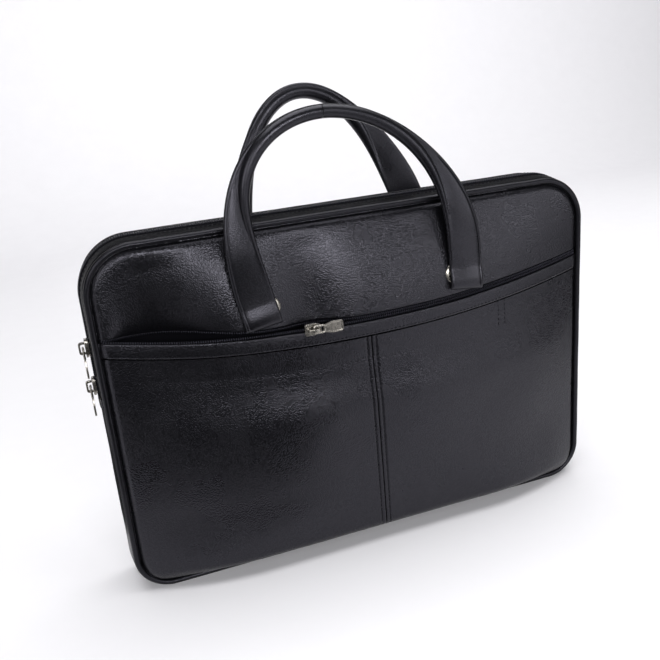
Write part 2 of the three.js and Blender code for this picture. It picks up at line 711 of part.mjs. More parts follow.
function addHandles() {
  for (const handle of HANDLES) {
    const stations = handleStations(handle);
    stations.forEach((station, i) => {
      const before = stations[Math.max(0, i - 1)];
      const after = stations[Math.min(stations.length - 1, i + 1)];
      const along = new THREE.Vector2(after.x - before.x, after.z - before.z).normalize();
      station.acrossX = -along.y;
      station.acrossZ = along.x;
    });
    const place = (station, point) => new THREE.Vector3(
      station.x + station.acrossX * point.x,
      station.y + point.y,
      station.z + station.acrossZ * point.x,
    );
    addPart(handle.name, sweepGeometry(stations, strapSection, place), STRAP_LOOK);
  }
}

function addStuds() {
  const profile = [
    new THREE.Vector2(0, 0),
    new THREE.Vector2(STUD_RADIUS, 0),
    new THREE.Vector2(STUD_RADIUS, STUD_RIM),
    new THREE.Vector2(STUD_DOME_RADIUS, 2 * STUD_RIM),
    new THREE.Vector2(STUD_FLAT_RADIUS, STUD_PROUD),
    new THREE.Vector2(0, STUD_PROUD),
  ];
  for (const { name, side } of [{ name: 'stud_left', side: -1 }, { name: 'stud_right', side: 1 }]) {
    const cap = toGeometry(toSolid(new THREE.LatheGeometry(profile, STUD_SIDES)));
    const stud = addPart(name, cap, NICKEL_LOOK);
    const x = side * STUD_X;
    const forward = upperForward(x, STUD_HEIGHT);
    const slopeX = (upperForward(x + 1, STUD_HEIGHT) - upperForward(x - 1, STUD_HEIGHT)) / 2;
    const slopeZ = (upperForward(x, STUD_HEIGHT + 1) - upperForward(x, STUD_HEIGHT - 1)) / 2;
    const out = new THREE.Vector3(-slopeX, -1, -slopeZ).normalize();
    stud.position.set(x, -forward, STUD_HEIGHT).addScaledVector(out, GAP);
    stud.quaternion.setFromUnitVectors(new THREE.Vector3(0, 1, 0), out);
  }
}

addGusset();
addMainZip();
addPiping();
addBackPanel();
addUpperPanel();
addPocket();
addPocketZip();
addSliders();
addHandles();
addStuds();

export default bag;
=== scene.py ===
# %% [markdown]
# # A black leather office bag
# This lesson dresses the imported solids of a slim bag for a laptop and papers. Each solid is a plain stand-in
# for something soft or shiny, and each step below puts the real surface in its place: pebbled leather over
# a stuffed body, rolled handles, a nylon zip and small nickel fittings. Nothing is moved or resized.

# %% Load the frame
import json
import math

import bmesh
import bpy
import numpy as np
from mathutils import Matrix, Vector


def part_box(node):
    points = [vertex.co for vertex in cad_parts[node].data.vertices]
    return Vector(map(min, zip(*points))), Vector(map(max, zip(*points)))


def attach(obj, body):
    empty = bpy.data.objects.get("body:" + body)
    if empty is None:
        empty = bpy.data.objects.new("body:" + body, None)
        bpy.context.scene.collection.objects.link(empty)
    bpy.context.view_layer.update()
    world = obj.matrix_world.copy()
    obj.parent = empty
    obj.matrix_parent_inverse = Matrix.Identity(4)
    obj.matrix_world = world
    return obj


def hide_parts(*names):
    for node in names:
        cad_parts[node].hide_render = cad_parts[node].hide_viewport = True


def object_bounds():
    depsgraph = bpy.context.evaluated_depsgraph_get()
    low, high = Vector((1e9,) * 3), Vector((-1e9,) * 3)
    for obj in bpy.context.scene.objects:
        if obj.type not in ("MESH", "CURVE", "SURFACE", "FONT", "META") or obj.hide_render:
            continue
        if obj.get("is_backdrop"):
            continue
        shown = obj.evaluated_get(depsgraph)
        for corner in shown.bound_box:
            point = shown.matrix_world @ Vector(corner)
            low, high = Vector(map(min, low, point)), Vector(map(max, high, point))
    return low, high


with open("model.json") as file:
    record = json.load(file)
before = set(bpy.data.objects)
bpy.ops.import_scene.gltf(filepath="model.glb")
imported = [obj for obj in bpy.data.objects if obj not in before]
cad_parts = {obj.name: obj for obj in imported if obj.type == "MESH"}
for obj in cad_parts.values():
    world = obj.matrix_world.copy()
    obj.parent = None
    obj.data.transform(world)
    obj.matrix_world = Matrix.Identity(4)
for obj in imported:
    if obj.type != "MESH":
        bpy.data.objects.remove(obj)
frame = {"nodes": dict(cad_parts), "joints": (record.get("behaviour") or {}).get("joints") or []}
cad_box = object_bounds()
MM = 0.001

# %% [markdown]
# ## Camera
# The camera comes first, because it decides how fine each surface has to be. It stands a little above the
# bag and to its left, and is rolled by a few degrees, so the bag leans in the picture. The place and the
# angles were found by fitting the front panel's four corners, and the focal length is in pixels of a square
# picture, which is turned into a lens for a sensor of ordinary width.

# %% Camera
PICTURE_PIXELS = 660
FOCAL_PIXELS = 794.4
CAMERA_PLACE = Vector((-212.0, -574.8, 388.9)) * MM
CAMERA_AZIMUTH = math.radians(18.44)
CAMERA_ELEVATION = math.radians(19.18)
CAMERA_ROLL = math.radians(-5.18)
SENSOR_WIDTH = 36.0


def put_in_scene(name, data):
    """A new object at the origin that shows a mesh, a light or a camera"""
    made = bpy.data.objects.new(name, data)
    bpy.context.scene.collection.objects.link(made)
    return made


camera = put_in_scene("camera", bpy.data.cameras.new("camera"))
camera.data.sensor_width = SENSOR_WIDTH
camera.data.lens = SENSOR_WIDTH * FOCAL_PIXELS / PICTURE_PIXELS
looking = Vector((
    math.sin(CAMERA_AZIMUTH) * math.cos(CAMERA_ELEVATION),
    math.cos(CAMERA_AZIMUTH) * math.cos(CAMERA_ELEVATION),
    -math.sin(CAMERA_ELEVATION),
))
aim = looking.to_track_quat("-Z", "Y").to_matrix().to_4x4()
camera.matrix_world = Matrix.Translation(CAMERA_PLACE) @ aim @ Matrix.Rotation(CAMERA_ROLL, 4, "Z")
bpy.context.scene.camera = camera
bpy.context.scene.view_settings.view_transform = "Standard"
print("lens", round(camera.data.lens, 2), "mm")

# %% [markdown]
# ## Materials: a few small tools
# Every finish below is a network of nodes. One function adds a node and sets its properties, and another
# fills a node's inputs, where an input that is given a socket is linked instead. Colours are written as
# they would be picked from a screen, so one more turns them into the linear values that the shader adds up.


# %% Node and colour tools
def linear(hex_colour):
    """A screen colour such as #1b1b1e as linear red, green, blue and alpha"""
    parts = [int(hex_colour[i:i + 2], 16) / 255 for i in (1, 3, 5)]
    return [p / 12.92 if p <= 0.04045 else ((p + 0.055) / 1.055) ** 2.4 for p in parts] + [1.0]


def fill(tree, node, inputs):
    """Fills a node's inputs, each with a value or with a link from another node's socket"""
    for key, value in inputs.items():
        if isinstance(value, bpy.types.NodeSocket):
            tree.links.new(value, node.inputs[key])
        else:
            node.inputs[key].default_value = value


def add(tree, kind, settings=None, inputs=None):
    node = tree.nodes.new(kind)
    for key, value in (settings or {}).items():
        setattr(node, key, value)
    fill(tree, node, inputs or {})
    return node


def new_material(name):
    material = bpy.data.materials.new(name)
    material.use_nodes = True
    tree = material.node_tree
    tree.nodes.clear()
    shader = add(tree, "ShaderNodeBsdfPrincipled")
    add(tree, "ShaderNodeOutputMaterial", inputs={"Surface": shader.outputs["BSDF"]})
    return material, tree, shader


def per_metre(size_mm):
    """Texture scale whose cells are about that size"""
    return 1 / (size_mm * MM)


print("black leather as linear:", [round(c, 4) for c in linear("#0e0e10")[:3]])

# %% [markdown]
# ## Leather
# The bag is cut from corrected cowhide that was embossed with a small pebble, dyed black and sealed with a
# satin finish. The eye sees three things: round pebbles about a millimetre across that break the light
# into a grainy sheen, valleys between them, which are painted slightly darker as shade, and broad patches
# where handling has polished the finish. Voronoi cells give the pebbles, drawn a little coarser than life so
# that they show at this picture's size. The straps are a smoother cut of the same hide, the piping a thinner
# one with less seal, and the strips beside the zip have hardly any, so all four come from one function.

# %% Leather
PEBBLE_MM = 1.1
POLISH = 0.06
SEAL_TINT = "#f0eeff"


def leather(name, colour, worn_colour, pebble_mm, depth_mm, rough, sheen_patch_mm, seal=0.5):
    """Embossed hide with pebbles and handling patches of these sizes; the seal is how much it mirrors"""
    material, tree, shader = new_material(name)
    place = add(tree, "ShaderNodeTexCoord").outputs["Object"]
    bend = add(tree, "ShaderNodeTexNoise", inputs={
        "Vector": place, "Scale": per_metre(4 * pebble_mm), "Detail": 2.0,
    })
    bent = add(tree, "ShaderNodeVectorMath", {"operation": "MULTIPLY_ADD"}, {
        0: bend.outputs["Color"], 1: (0.8 * pebble_mm * MM,) * 3, 2: place,
    })
    pebbles = add(tree, "ShaderNodeTexVoronoi", {"feature": "SMOOTH_F1"}, {
        "Vector": bent.outputs[0], "Scale": per_metre(pebble_mm), "Smoothness": 0.35,
    })
    height = add(tree, "ShaderNodeMapRange", {"interpolation_type": "SMOOTHSTEP"}, {
        "Value": pebbles.outputs["Distance"], "From Min": 0.15, "From Max": 0.75,
        "To Min": 1.0, "To Max": 0.0,
    })
    pores = add(tree, "ShaderNodeTexNoise", inputs={
        "Vector": place, "Scale": per_metre(0.45 * pebble_mm), "Detail": 1.0,
    })
    grain = add(tree, "ShaderNodeMath", {"operation": "MULTIPLY_ADD"}, {
        0: pores.outputs["Fac"], 1: 0.35, 2: height.outputs["Result"],
    })
    bump = add(tree, "ShaderNodeBump", inputs={
        "Strength": 1.0, "Distance": depth_mm * MM, "Height": grain.outputs[0],
    })
    patches = add(tree, "ShaderNodeTexNoise", inputs={
        "Vector": place, "Scale": per_metre(sheen_patch_mm), "Detail": 3.0, "Roughness": 0.55,
    })
    tone = add(tree, "ShaderNodeMix", {"data_type": "RGBA"}, {
        0: patches.outputs["Fac"], 6: linear(colour), 7: linear(worn_colour),
    })
    # painted shade: the valleys between pebbles are darkened in the base colour, to 0.55 of the pebble tops
    valley_painted_shade = add(tree, "ShaderNodeMapRange", inputs={
        "Value": height.outputs["Result"], "To Min": 0.55, "To Max": 1.0,
    })
    # the leather's tone with the painted shade of the valleys multiplied in
    surface_colour = add(tree, "ShaderNodeMix", {"data_type": "RGBA", "blend_type": "MULTIPLY"}, {
        0: 1.0, 6: tone.outputs[2], 7: valley_painted_shade.outputs["Result"],
    })
    polish = add(tree, "ShaderNodeMapRange", inputs={
        "Value": patches.outputs["Fac"], "From Min": 0.3, "From Max": 0.7,
        "To Min": rough + POLISH, "To Max": rough - POLISH,
    })
    sealed = add(tree, "ShaderNodeMapRange", inputs={
        "Value": height.outputs["Result"], "To Min": 0.84 * seal, "To Max": seal,
    })
    fill(tree, shader, {
        "Base Color": surface_colour.outputs[2], "Roughness": polish.outputs["Result"],
        "Specular IOR Level": sealed.outputs["Result"], "Specular Tint": linear(SEAL_TINT),
        "Normal": bump.outputs["Normal"],
    })
    return material


hide = leather("pebbled black cowhide", "#08080a", "#101013", PEBBLE_MM, 0.10, 0.28, 45)
strap_hide = leather("smooth black strap leather", "#08080a", "#0e0e11", PEBBLE_MM, 0.035, 0.30, 30)
piping_hide = leather("satin black piping leather", "#08080a", "#0e0e11", PEBBLE_MM, 0.05, 0.34, 30, 0.32)
edge_hide = leather("matt black edge leather", "#060608", "#0c0c0e", PEBBLE_MM, 0.08, 0.45, 30, 0.1)
print("leathers:", [m.name for m in (hide, strap_hide, piping_hide, edge_hide)])

# %% [markdown]
# ## Cloth, nylon, nickel and thread
# The zip's tape is a tight polyester twill that hardly shines. Its coil is extruded nylon, so it is smooth
# and has small sharp lights. The pocket's wall is a plain woven lining. Sliders, pulls and studs are zinc
# castings with polished nickel plate, a slightly warm white metal with faint rubbing marks. The thread is
# twisted polyester, as black as the leather but without its sheen.

# %% Cloth, nylon, nickel and thread
COOL_TINT = "#e6e4ff"


def woven(name, colour, thread_mm, depth_mm, coordinate):
    """A plain weave of threads this far apart, on Object coordinates or along the piece's own UV map"""
    material, tree, shader = new_material(name)
    place = add(tree, "ShaderNodeTexCoord").outputs[coordinate]
    bands_per_wave = 2 * math.pi / 20
    warp, weft = (
        add(tree, "ShaderNodeTexWave", {"wave_type": "BANDS", "bands_direction": axis}, {
            "Vector": place, "Scale": bands_per_wave * per_metre(thread_mm), "Distortion": 0.4,
        })
        for axis in ("X", "Y" if coordinate == "UV" else "Z")
    )
    weave = add(tree, "ShaderNodeMath", {"operation": "MULTIPLY"}, {
        0: warp.outputs["Fac"], 1: weft.outputs["Fac"],
    })
    shade = add(tree, "ShaderNodeMapRange", inputs={"Value": weave.outputs[0], "To Min": 0.5, "To Max": 1.3})
    surface_colour = add(tree, "ShaderNodeMix", {"data_type": "RGBA", "blend_type": "MULTIPLY"}, {
        0: 1.0, 6: linear(colour), 7: shade.outputs["Result"],
    })
    bump = add(tree, "ShaderNodeBump", inputs={
        "Strength": 0.8, "Distance": depth_mm * MM, "Height": weave.outputs[0],
    })
    fill(tree, shader, {
        "Base Color": surface_colour.outputs[2], "Roughness": 0.85, "Normal": bump.outputs["Normal"],
        "Specular IOR Level": 0.12, "Specular Tint": linear(COOL_TINT),
    })
    return material


def flecked(name, colour, fleck_colour, fleck_mm, rough, metallic, depth_mm, tint="#ffffff", level=0.5):
    """A hard, nearly even finish: fine flecks change its tone, its gloss and its surface a little"""
    material, tree, shader = new_material(name)
    place = add(tree, "ShaderNodeTexCoord").outputs["Object"]
    flecks = add(tree, "ShaderNodeTexNoise", inputs={
        "Vector": place, "Scale": per_metre(fleck_mm), "Detail": 4.0, "Roughness": 0.6,
    })
    tone = add(tree, "ShaderNodeMix", {"data_type": "RGBA"}, {
        0: flecks.outputs["Fac"], 6: linear(colour), 7: linear(fleck_colour),
    })
    gloss = add(tree, "ShaderNodeMapRange", inputs={
        "Value": flecks.outputs["Fac"], "From Min": 0.3, "From Max": 0.7,
        "To Min": 0.7 * rough, "To Max": 1.3 * rough,
    })
    bump = add(tree, "ShaderNodeBump", inputs={
        "Strength": 0.5, "Distance": depth_mm * MM, "Height": flecks.outputs["Fac"],
    })
    fill(tree, shader, {
        "Base Color": tone.outputs[2], "Roughness": gloss.outputs["Result"], "Normal": bump.outputs["Normal"],
        "Metallic": metallic, "Specular IOR Level": level, "Specular Tint": linear(tint),
    })
    return material


tape_cloth = woven("black polyester zip tape", "#060608", 0.7, 0.12, "UV")
lining_cloth = woven("black woven lining", "#030304", 0.9, 0.12, "Object")
nylon = flecked("black nylon coil", "#09090b", "#141417", 3.0, 0.36, 0.0, 0.02, COOL_TINT)
nickel = flecked("polished nickel plate", "#aaa69f", "#918d86", 2.5, 0.26, 1.0, 0.01)
thread = flecked("black polyester thread", "#08080a", "#121214", 0.6, 0.6, 0.0, 0.08, COOL_TINT, 0.15)
print("other finishes:", [m.name for m in (tape_cloth, lining_cloth, nylon, nickel, thread)])

# %% [markdown]
# ## Floor and cards
# A pale paper sweep carries the bag: a flat floor that curves up into a wall, so no horizon line shows. Black
# leather shows little but what it mirrors, so black cards lie on the paper, as photographers lay them. The
# one in front keeps the left half of the front nearly black, and the small ones keep the two sides from
# going grey. Only reflections see them.

# %% Floor and cards
SWEEP_HALF_WIDTH = 4.0
SWEEP_FRONT = -3.0
SWEEP_BACK = 1.3
SWEEP_RADIUS = 0.6
SWEEP_TOP = 0.85
bend_angles = np.linspace(0, math.pi / 2, 24)
sweep_line = [(SWEEP_FRONT, 0.0)]
sweep_line += [
    (SWEEP_BACK + SWEEP_RADIUS * math.sin(a), SWEEP_RADIUS * (1 - math.cos(a))) for a in bend_angles
]
sweep_line += [(SWEEP_BACK + SWEEP_RADIUS, SWEEP_TOP)]
sweep_points = [(side * SWEEP_HALF_WIDTH, y, z) for y, z in sweep_line for side in (-1, 1)]
sweep_faces = [(2 * i, 2 * i + 1, 2 * i + 3, 2 * i + 2) for i in range(len(sweep_line) - 1)]
sweep_mesh = bpy.data.meshes.new("paper_sweep")
sweep_mesh.from_pydata(sweep_points, [], sweep_faces)
sweep_mesh.polygons.foreach_set("use_smooth", [True] * len(sweep_faces))
floor = put_in_scene("paper_sweep", sweep_mesh)
floor.data.materials.append(flecked("matt white paper", "#f6f5f8", "#f2f1f4", 40.0, 0.9, 0.0, 0.01))
floor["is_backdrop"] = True

CARD_HEIGHT = 0.01
CARDS = {
    "card_in_front": [
        (-2.4, -2.9), (0.9, -2.9), (0.62, -1.8), (0.17, -0.5), (-0.06, -0.14), (-0.3, -0.14), (-1.1, -0.9),
    ],
    "card_at_left": [(-0.42, 0.05), (-0.22, 0.05), (-0.22, 1.25), (-0.42, 1.25)],
    "card_at_right": [(0.5, -0.5), (1.1, -0.75), (1.1, 0.1), (0.5, -0.12)],
}
velvet = flecked("black velvet card", "#080808", "#0d0d0d", 5.0, 0.95, 0.0, 0.05)
for card_name, card_corners in CARDS.items():
    card_mesh = bpy.data.meshes.new(card_name)
    card_mesh.from_pydata([(x, y, CARD_HEIGHT) for x, y in card_corners], [], [range(len(card_corners))])
    card_mesh.materials.append(velvet)
    card = put_in_scene(card_name, card_mesh)
    card.visible_camera = False
    card.visible_diffuse = False
    card.visible_shadow = False
    card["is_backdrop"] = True
print("sweep faces:", len(sweep_faces), "cards:", len(CARDS))

# %% [markdown]
# ## Light
# The light is broad and soft: a large box above, a strip that washes the wall, and windows in front, at the
# right and at the left, each a rectangle that the leather mirrors as a soft patch. The backdrop past the
# paper's end is pale where the camera looks straight at it, and otherwise dim, so it fills the shadows only
# a little.

# %% Light
BAG_MIDDLE = (0.0, 0.0, 0.15)
BACKDROP_LIGHTS = 0.1
BACKDROP_SEEN = 0.95


def soft_light(name, place, target, size, watts):
    light = put_in_scene(name, bpy.data.lights.new(name, "AREA"))
    light.data.shape = "RECTANGLE"
    light.data.size, light.data.size_y = size
    light.data.energy = watts
    light.location = place
    light.rotation_euler = (Vector(target) - Vector(place)).to_track_quat("-Z", "Y").to_euler()


soft_light("softbox_above", (0.2, 0.0, 2.1), (0.2, 0.0, 0.0), (2.6, 1.8), 46)
soft_light("wall_wash", (0.95, 0.5, 1.7), (1.25, 1.9, 0.2), (2.4, 0.5), 12.5)
soft_light("key_right", (1.17, -1.35, 0.45), BAG_MIDDLE, (0.6, 0.6), 4.5)
soft_light("window_front", (-0.015, -1.99, 0.68), BAG_MIDDLE, (1.05, 0.45), 19.3)
soft_light("window_left", (-1.2, -1.2, 0.75), BAG_MIDDLE, (0.6, 0.7), 8)
world = bpy.data.worlds.new("white_studio")
bpy.context.scene.world = world
world.use_nodes = True
backdrop = world.node_tree.nodes["Background"]
backdrop.inputs["Color"].default_value = linear("#f4f5fb")
seen_directly = add(world.node_tree, "ShaderNodeLightPath").outputs["Is Camera Ray"]
glow = add(world.node_tree, "ShaderNodeMapRange", inputs={
    "Value": seen_directly, "To Min": BACKDROP_LIGHTS, "To Max": BACKDROP_SEEN,
})
world.node_tree.links.new(glow.outputs["Result"], backdrop.inputs["Strength"])

# %% [markdown]
# ## The shape of the bag
# The solids follow a few rules, and the fine surfaces repeat them in millimetres, so both agree. Forward
# means towards the front, -Y. The front is stuffed like a pillow: flat at its seams and fullest in the
# middle. The pocket's mouth sags between its ends, and where its zip is open, at the left, the pocket's
# front gapes forward while the upper panel dips in behind it.

# %% Rules of the body
low_corner, high_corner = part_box("piping_front")
BODY_HALF = high_corner.x / MM
BODY_HEIGHT = high_corner.z / MM
panel_low_corner, panel_high_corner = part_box("back_panel")
PANEL_HALF = panel_high_corner.x / MM
PANEL_LOW = panel_low_corner.z / MM
PANEL_HIGH = panel_high_corner.z / MM
GUSSET_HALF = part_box("gusset")[1].y / MM
GUSSET_CROWN = 1.5
CORNER_TOP = 38.0
CORNER_BOTTOM = 30.0
HIGH_RADIUS = CORNER_TOP - (BODY_HALF - PANEL_HALF)
LOW_RADIUS = CORNER_BOTTOM - (BODY_HALF - PANEL_HALF)
LEATHER = 1.8
PIPING_RADIUS = 2.3
PIPING_FORWARD = -low_corner.y / MM - PIPING_RADIUS
SKIN_EDGE = PIPING_FORWARD + 1.5
FRONT_PILLOW = 17.0
BACK_PILLOW = 8.0
SHOULDER_SIDE = 170.0
SHOULDER_BOTTOM = 28.0
SHOULDER_TOP = 85.0
MOUTH_END_HEIGHT = 209.5
MOUTH_SAG = 17.0
MOUTH_LIFT = 2.5
SLIT_HEIGHT = 5.5
SLIT_HEIGHT_LEFT = 2.4
BAND_HEIGHT = 11.5
OPEN_LEFT = -192.0
OPEN_RIGHT = -58.0


def shoulder(t):
    """From 0 to 1, steep at first and level at its end"""
    return 1 - (1 - np.clip(t, 0, 1)) ** 2


def fade(t):
    """From 1 to 0, steep at first and level at its end"""
    return (1 - np.clip(t, 0, 1)) ** 2


def smoothstep(value, start, end):
    t = np.clip((value - start) / (end - start), 0, 1)
    return t * t * (3 - 2 * t)


def mix(a, b, t):
    return a + (b - a) * t


def pillow(x, z):
    side = shoulder((PANEL_HALF - np.abs(x)) / SHOULDER_SIDE)
    return side * shoulder((z - PANEL_LOW) / SHOULDER_BOTTOM) * shoulder((PANEL_HIGH - z) / SHOULDER_TOP)


def openness(x):
    """How far the pocket's mouth stands open: 0 at both ends of the gap and 1 in its middle"""
    return np.sin(np.pi * np.clip((x - OPEN_LEFT) / (OPEN_RIGHT - OPEN_LEFT), 0, 1)) ** 2


def mouth_height(x):
    return MOUTH_END_HEIGHT - MOUTH_SAG * (1 - (x / PANEL_HALF) ** 2)


def zip_height(x):
    to_left = np.clip((OPEN_RIGHT - x) / (OPEN_RIGHT + PANEL_HALF), 0, 1)
    return mix(SLIT_HEIGHT, SLIT_HEIGHT_LEFT, to_left)


def upper_foot(x):
    return mouth_height(x) + zip_height(x) + MOUTH_LIFT * openness(x)


def skin(x, z):
    return SKIN_EDGE + FRONT_PILLOW * pillow(x, z)


print("body", round(2 * BODY_HALF), "x", round(BODY_HEIGHT), "mm, panel from", round(PANEL_LOW, 1), "mm up")

# %% [markdown]
# ## Softness
# A sewn bag is never as even as its pattern. A smooth noise from a small table of fixed random numbers lets
# the leather rise and fall by a fraction of a millimetre, and a few soft dents beside the straps break up
# its light. A cloth simulation could give such unevenness too, but formulas keep every piece in its place
# and come out the same in every run.

# %% Softness
DENTS = [  # x, z, width, height, depth
    (-158, 206, 26, 46, 10.0),
    (-106, 232, 18, 46, -2.0),
    (-46, 204, 24, 48, 9.0),
    (45, 238, 44, 30, 1.4),
    (118, 236, 30, 40, 1.0),
]
DENT_FROM_EDGE = 18.0
BROAD_WAVE, BROAD_WAVE_SIZE = 0.7, 55.0
SMALL_WAVE, SMALL_WAVE_SIZE = 0.22, 19.0
NOISE_CELLS = 64


def soft_noise(x, z, size, seed):
    """Smooth rises and dips about `size` apart, from -1 to 1, the same in every run"""
    table = np.random.default_rng(seed).uniform(-1, 1, (NOISE_CELLS, NOISE_CELLS))
    u, v = x / size + NOISE_CELLS / 2, z / size + NOISE_CELLS / 2
    i, j = (np.floor(w).astype(int) % (NOISE_CELLS - 1) for w in (u, v))
    s, t = (smoothstep(w % 1, 0, 1) for w in (u, v))
    return mix(mix(table[i, j], table[i + 1, j], s), mix(table[i, j + 1], table[i + 1, j + 1], s), t)


def dent_depth(x, z):
    depth = 0
    for dent_x, dent_z, width, height, most in DENTS:
        depth = depth + most * np.exp(-((x - dent_x) / width) ** 2 - ((z - dent_z) / height) ** 2)
    return depth * smoothstep(outline_distance(x, z), 0, DENT_FROM_EDGE)


def undulation(x, z, seed):
    broad = BROAD_WAVE * soft_noise(x, z, BROAD_WAVE_SIZE, seed)
    small = SMALL_WAVE * soft_noise(x, z, SMALL_WAVE_SIZE, seed + 1)
    return (broad + small) * np.sqrt(pillow(x, z))


def outline_distance(x, z):
    """How far a point of a panel lies inside the panel's rounded outline"""
    low = z < (PANEL_LOW + PANEL_HIGH) / 2
    radius = np.where(low, LOW_RADIUS, HIGH_RADIUS)
    across = np.abs(x) - (PANEL_HALF - radius)
    up = np.where(low, PANEL_LOW + radius - z, z - PANEL_HIGH + radius)
    straight = np.minimum(PANEL_HALF - np.abs(x), np.where(low, z - PANEL_LOW, PANEL_HIGH - z))
    in_corner = (across > 0) & (up > 0)
    return np.where(in_corner, radius - np.hypot(across, up), straight)


print("leather waves by up to", BROAD_WAVE + SMALL_WAVE, "mm, with", len(DENTS), "dents")

# %% [markdown]
# ## Seams, edges and the open mouth
# Beside the piping the leather dives into the seam, which draws the dark line round each panel, and at a
# turned edge it rolls over in a quarter circle. Where the pocket gapes, its front stands forward and the
# upper panel curls in behind it. Each face is a formula, so straps, studs and stitches can ask for its
# place later on.

# %% Seams, edges and the open mouth
POCKET_GAPE = 3.0
POCKET_GAPE_REACH = 70.0
MOUTH_DIP = 3.0
MOUTH_DIP_REACH = 50.0
MOUTH_LIP = 2.2
MOUTH_LIP_REACH = 16.0
GAPE_FULL_FROM = -176.0
GAPE_FULL_TO = -140.0
GAPE_ENDS = -94.0
SEAM_DIVE = 2.4
SEAM_DIVE_REACH = 5.0
EDGE_ROLL = 1.1


def seam_dive(x, z):
    return SEAM_DIVE * fade(outline_distance(x, z) / SEAM_DIVE_REACH)


def edge_roll(distance, radius=EDGE_ROLL):
    """How far a quarter circle falls away at a distance from its edge"""
    return radius - np.sqrt(radius ** 2 - (radius - np.clip(distance, 0, radius)) ** 2)


def pocket_face(x, z):
    return skin(x, z) + POCKET_GAPE * openness(x) * fade((mouth_height(x) - z) / POCKET_GAPE_REACH)


def mouth_gape(x):
    """How far the panel curls in behind the open mouth: fully near the side seam, and not at the strap"""
    return smoothstep(x, -PANEL_HALF, GAPE_FULL_FROM) * smoothstep(x, GAPE_ENDS, GAPE_FULL_TO)


def upper_face(x, z):
    above = z - upper_foot(x)
    dip = MOUTH_DIP * fade(above / MOUTH_DIP_REACH) + MOUTH_LIP * fade(above / MOUTH_LIP_REACH)
    return skin(x, z) - mouth_gape(x) * dip - dent_depth(x, z)


def back_face(x, z):
    return SKIN_EDGE + BACK_PILLOW * pillow(x, z)


print("front is", round(float(skin(0.0, 120.0)) - SKIN_EDGE, 1), "mm fuller in its middle than at its seams")

# %% [markdown]
# ## Building sheets
# A leather panel is a grid of points on its outer face, a second grid a leather's thickness behind it, and
# a rim that closes the two into one shell. Grid lines crowd together near the edges, where the leather
# rolls over. A handle or a stud is a row of rings instead, with a cap at each end.

# %% Building sheets
EDGE_LINES = np.array([0, 0.15, 0.4, 0.75, 1.2, 1.8, 2.4, 2.9, 3.3, 3.7, 4.1, 4.6, 5.4])
GRID_STEP = 2.4


def spaced(length, step=GRID_STEP, start=True, end=True):
    """Positions along a length, with fine lines near the ends that need them"""
    first = EDGE_LINES if start else EDGE_LINES[:1]
    last = EDGE_LINES if end else EDGE_LINES[:1]
    count = max(2, round((length - first[-1] - last[-1]) / step) + 1)
    middle = np.linspace(first[-1], length - last[-1], count)
    return np.concatenate([first[:-1], middle, length - last[-2::-1]])


def sheet_shell(outer, inner):
    """Points and faces of a closed sheet between two grids of points"""
    rows, columns, _ = outer.shape
    count = rows * columns
    index = np.arange(count).reshape(rows, columns)
    front = np.stack([index[:-1, :-1], index[:-1, 1:], index[1:, 1:], index[1:, :-1]], -1).reshape(-1, 4)
    rim = np.concatenate([index[0], index[1:, -1], index[-1, -2::-1], index[-2:0:-1, 0]])
    after = np.roll(rim, -1)
    sides = np.stack([after, rim, rim + count, after + count], -1)
    points = np.concatenate([outer.reshape(-1, 3), inner.reshape(-1, 3)])
    return points, np.concatenate([front, front[:, ::-1] + count, sides]).tolist()


def sweep_shell(rings):
    """Points and faces of a closed solid through rings of points, with a cap at each end"""
    stations, sides, _ = rings.shape
    index = np.arange(stations * sides).reshape(stations, sides)
    after = np.roll(index, -1, axis=1)
    walls = np.stack([index[:-1], after[:-1], after[1:], index[1:]], -1).reshape(-1, 4).tolist()
    return rings.reshape(-1, 3), walls + [index[0, ::-1].tolist(), index[-1].tolist()]


print("edge lines at", EDGE_LINES.tolist(), "mm")

# %% [markdown]
# ## Making and fitting a piece
# Meshes built point by point can come out inside out, so the enclosed volume is worked out, and a negative
# one turns every face round. A finished piece then rides on its body and stands in for the solid that it
# covers.


# %% Making and fitting a piece
def face_outwards(mesh):
    shape = bmesh.new()
    shape.from_mesh(mesh)
    if shape.calc_volume(signed=True) < 0:
        mesh.flip_normals()
    shape.free()


def make_piece(name, points, faces, material, sharp_angle=40, uv=None):
    """A mesh object at the origin from points in millimetres, with its faces outwards"""
    mesh = bpy.data.meshes.new(name)
    mesh.from_pydata((points * MM).tolist(), [], faces)
    face_outwards(mesh)
    mesh.polygons.foreach_set("use_smooth", [True] * len(faces))
    mesh.set_sharp_from_angle(angle=math.radians(sharp_angle))
    mesh.materials.append(material)
    if uv is not None:
        corners = np.zeros(len(mesh.loops), int)
        mesh.loops.foreach_get("vertex_index", corners)
        layer = mesh.uv_layers.new(name="along_across")
        layer.data.foreach_set("uv", (uv[corners] * MM).ravel())
    return put_in_scene(name, mesh)


def fit(piece, slot, *nodes, body="bag"):
    """Puts a finished piece on its body in place of the solids that it stands for"""
    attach(piece, body)
    if nodes:
        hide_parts(*nodes)
    print(piece.name, len(piece.data.polygons), "faces on", body)


def sew(node, outer, inner, material=hide):
    """A sheet of leather between two grids of points, in place of its solid"""
    fit(make_piece(node + "_leather", *sheet_shell(outer, inner), material), "leather_body", node)


def front_grid(x, forward, z):
    """Points of a front face from its forward distance"""
    return np.stack([x, -forward, z], -1)


def level(rows, columns):
    """Heights of a grid whose rows are level"""
    return np.repeat(rows[:, None], columns.size, 1)


print("leather sheets are", LEATHER, "mm thick")

# %% [markdown]
# ## Upper panel and back panel
# The upper panel runs from the pocket's zip to the top seam, and the back panel is one whole piece. Their
# rows of points climb the rounded corners in even steps, and each row is as wide as the panel is at that
# height, so the outline stays round without any trimming. Their edges are tucked a little under the piping,
# so that no light comes through the seam.

# %% Upper panel and back panel
SEAM_TUCK = 0.6
UPPER_RISE = 45.0


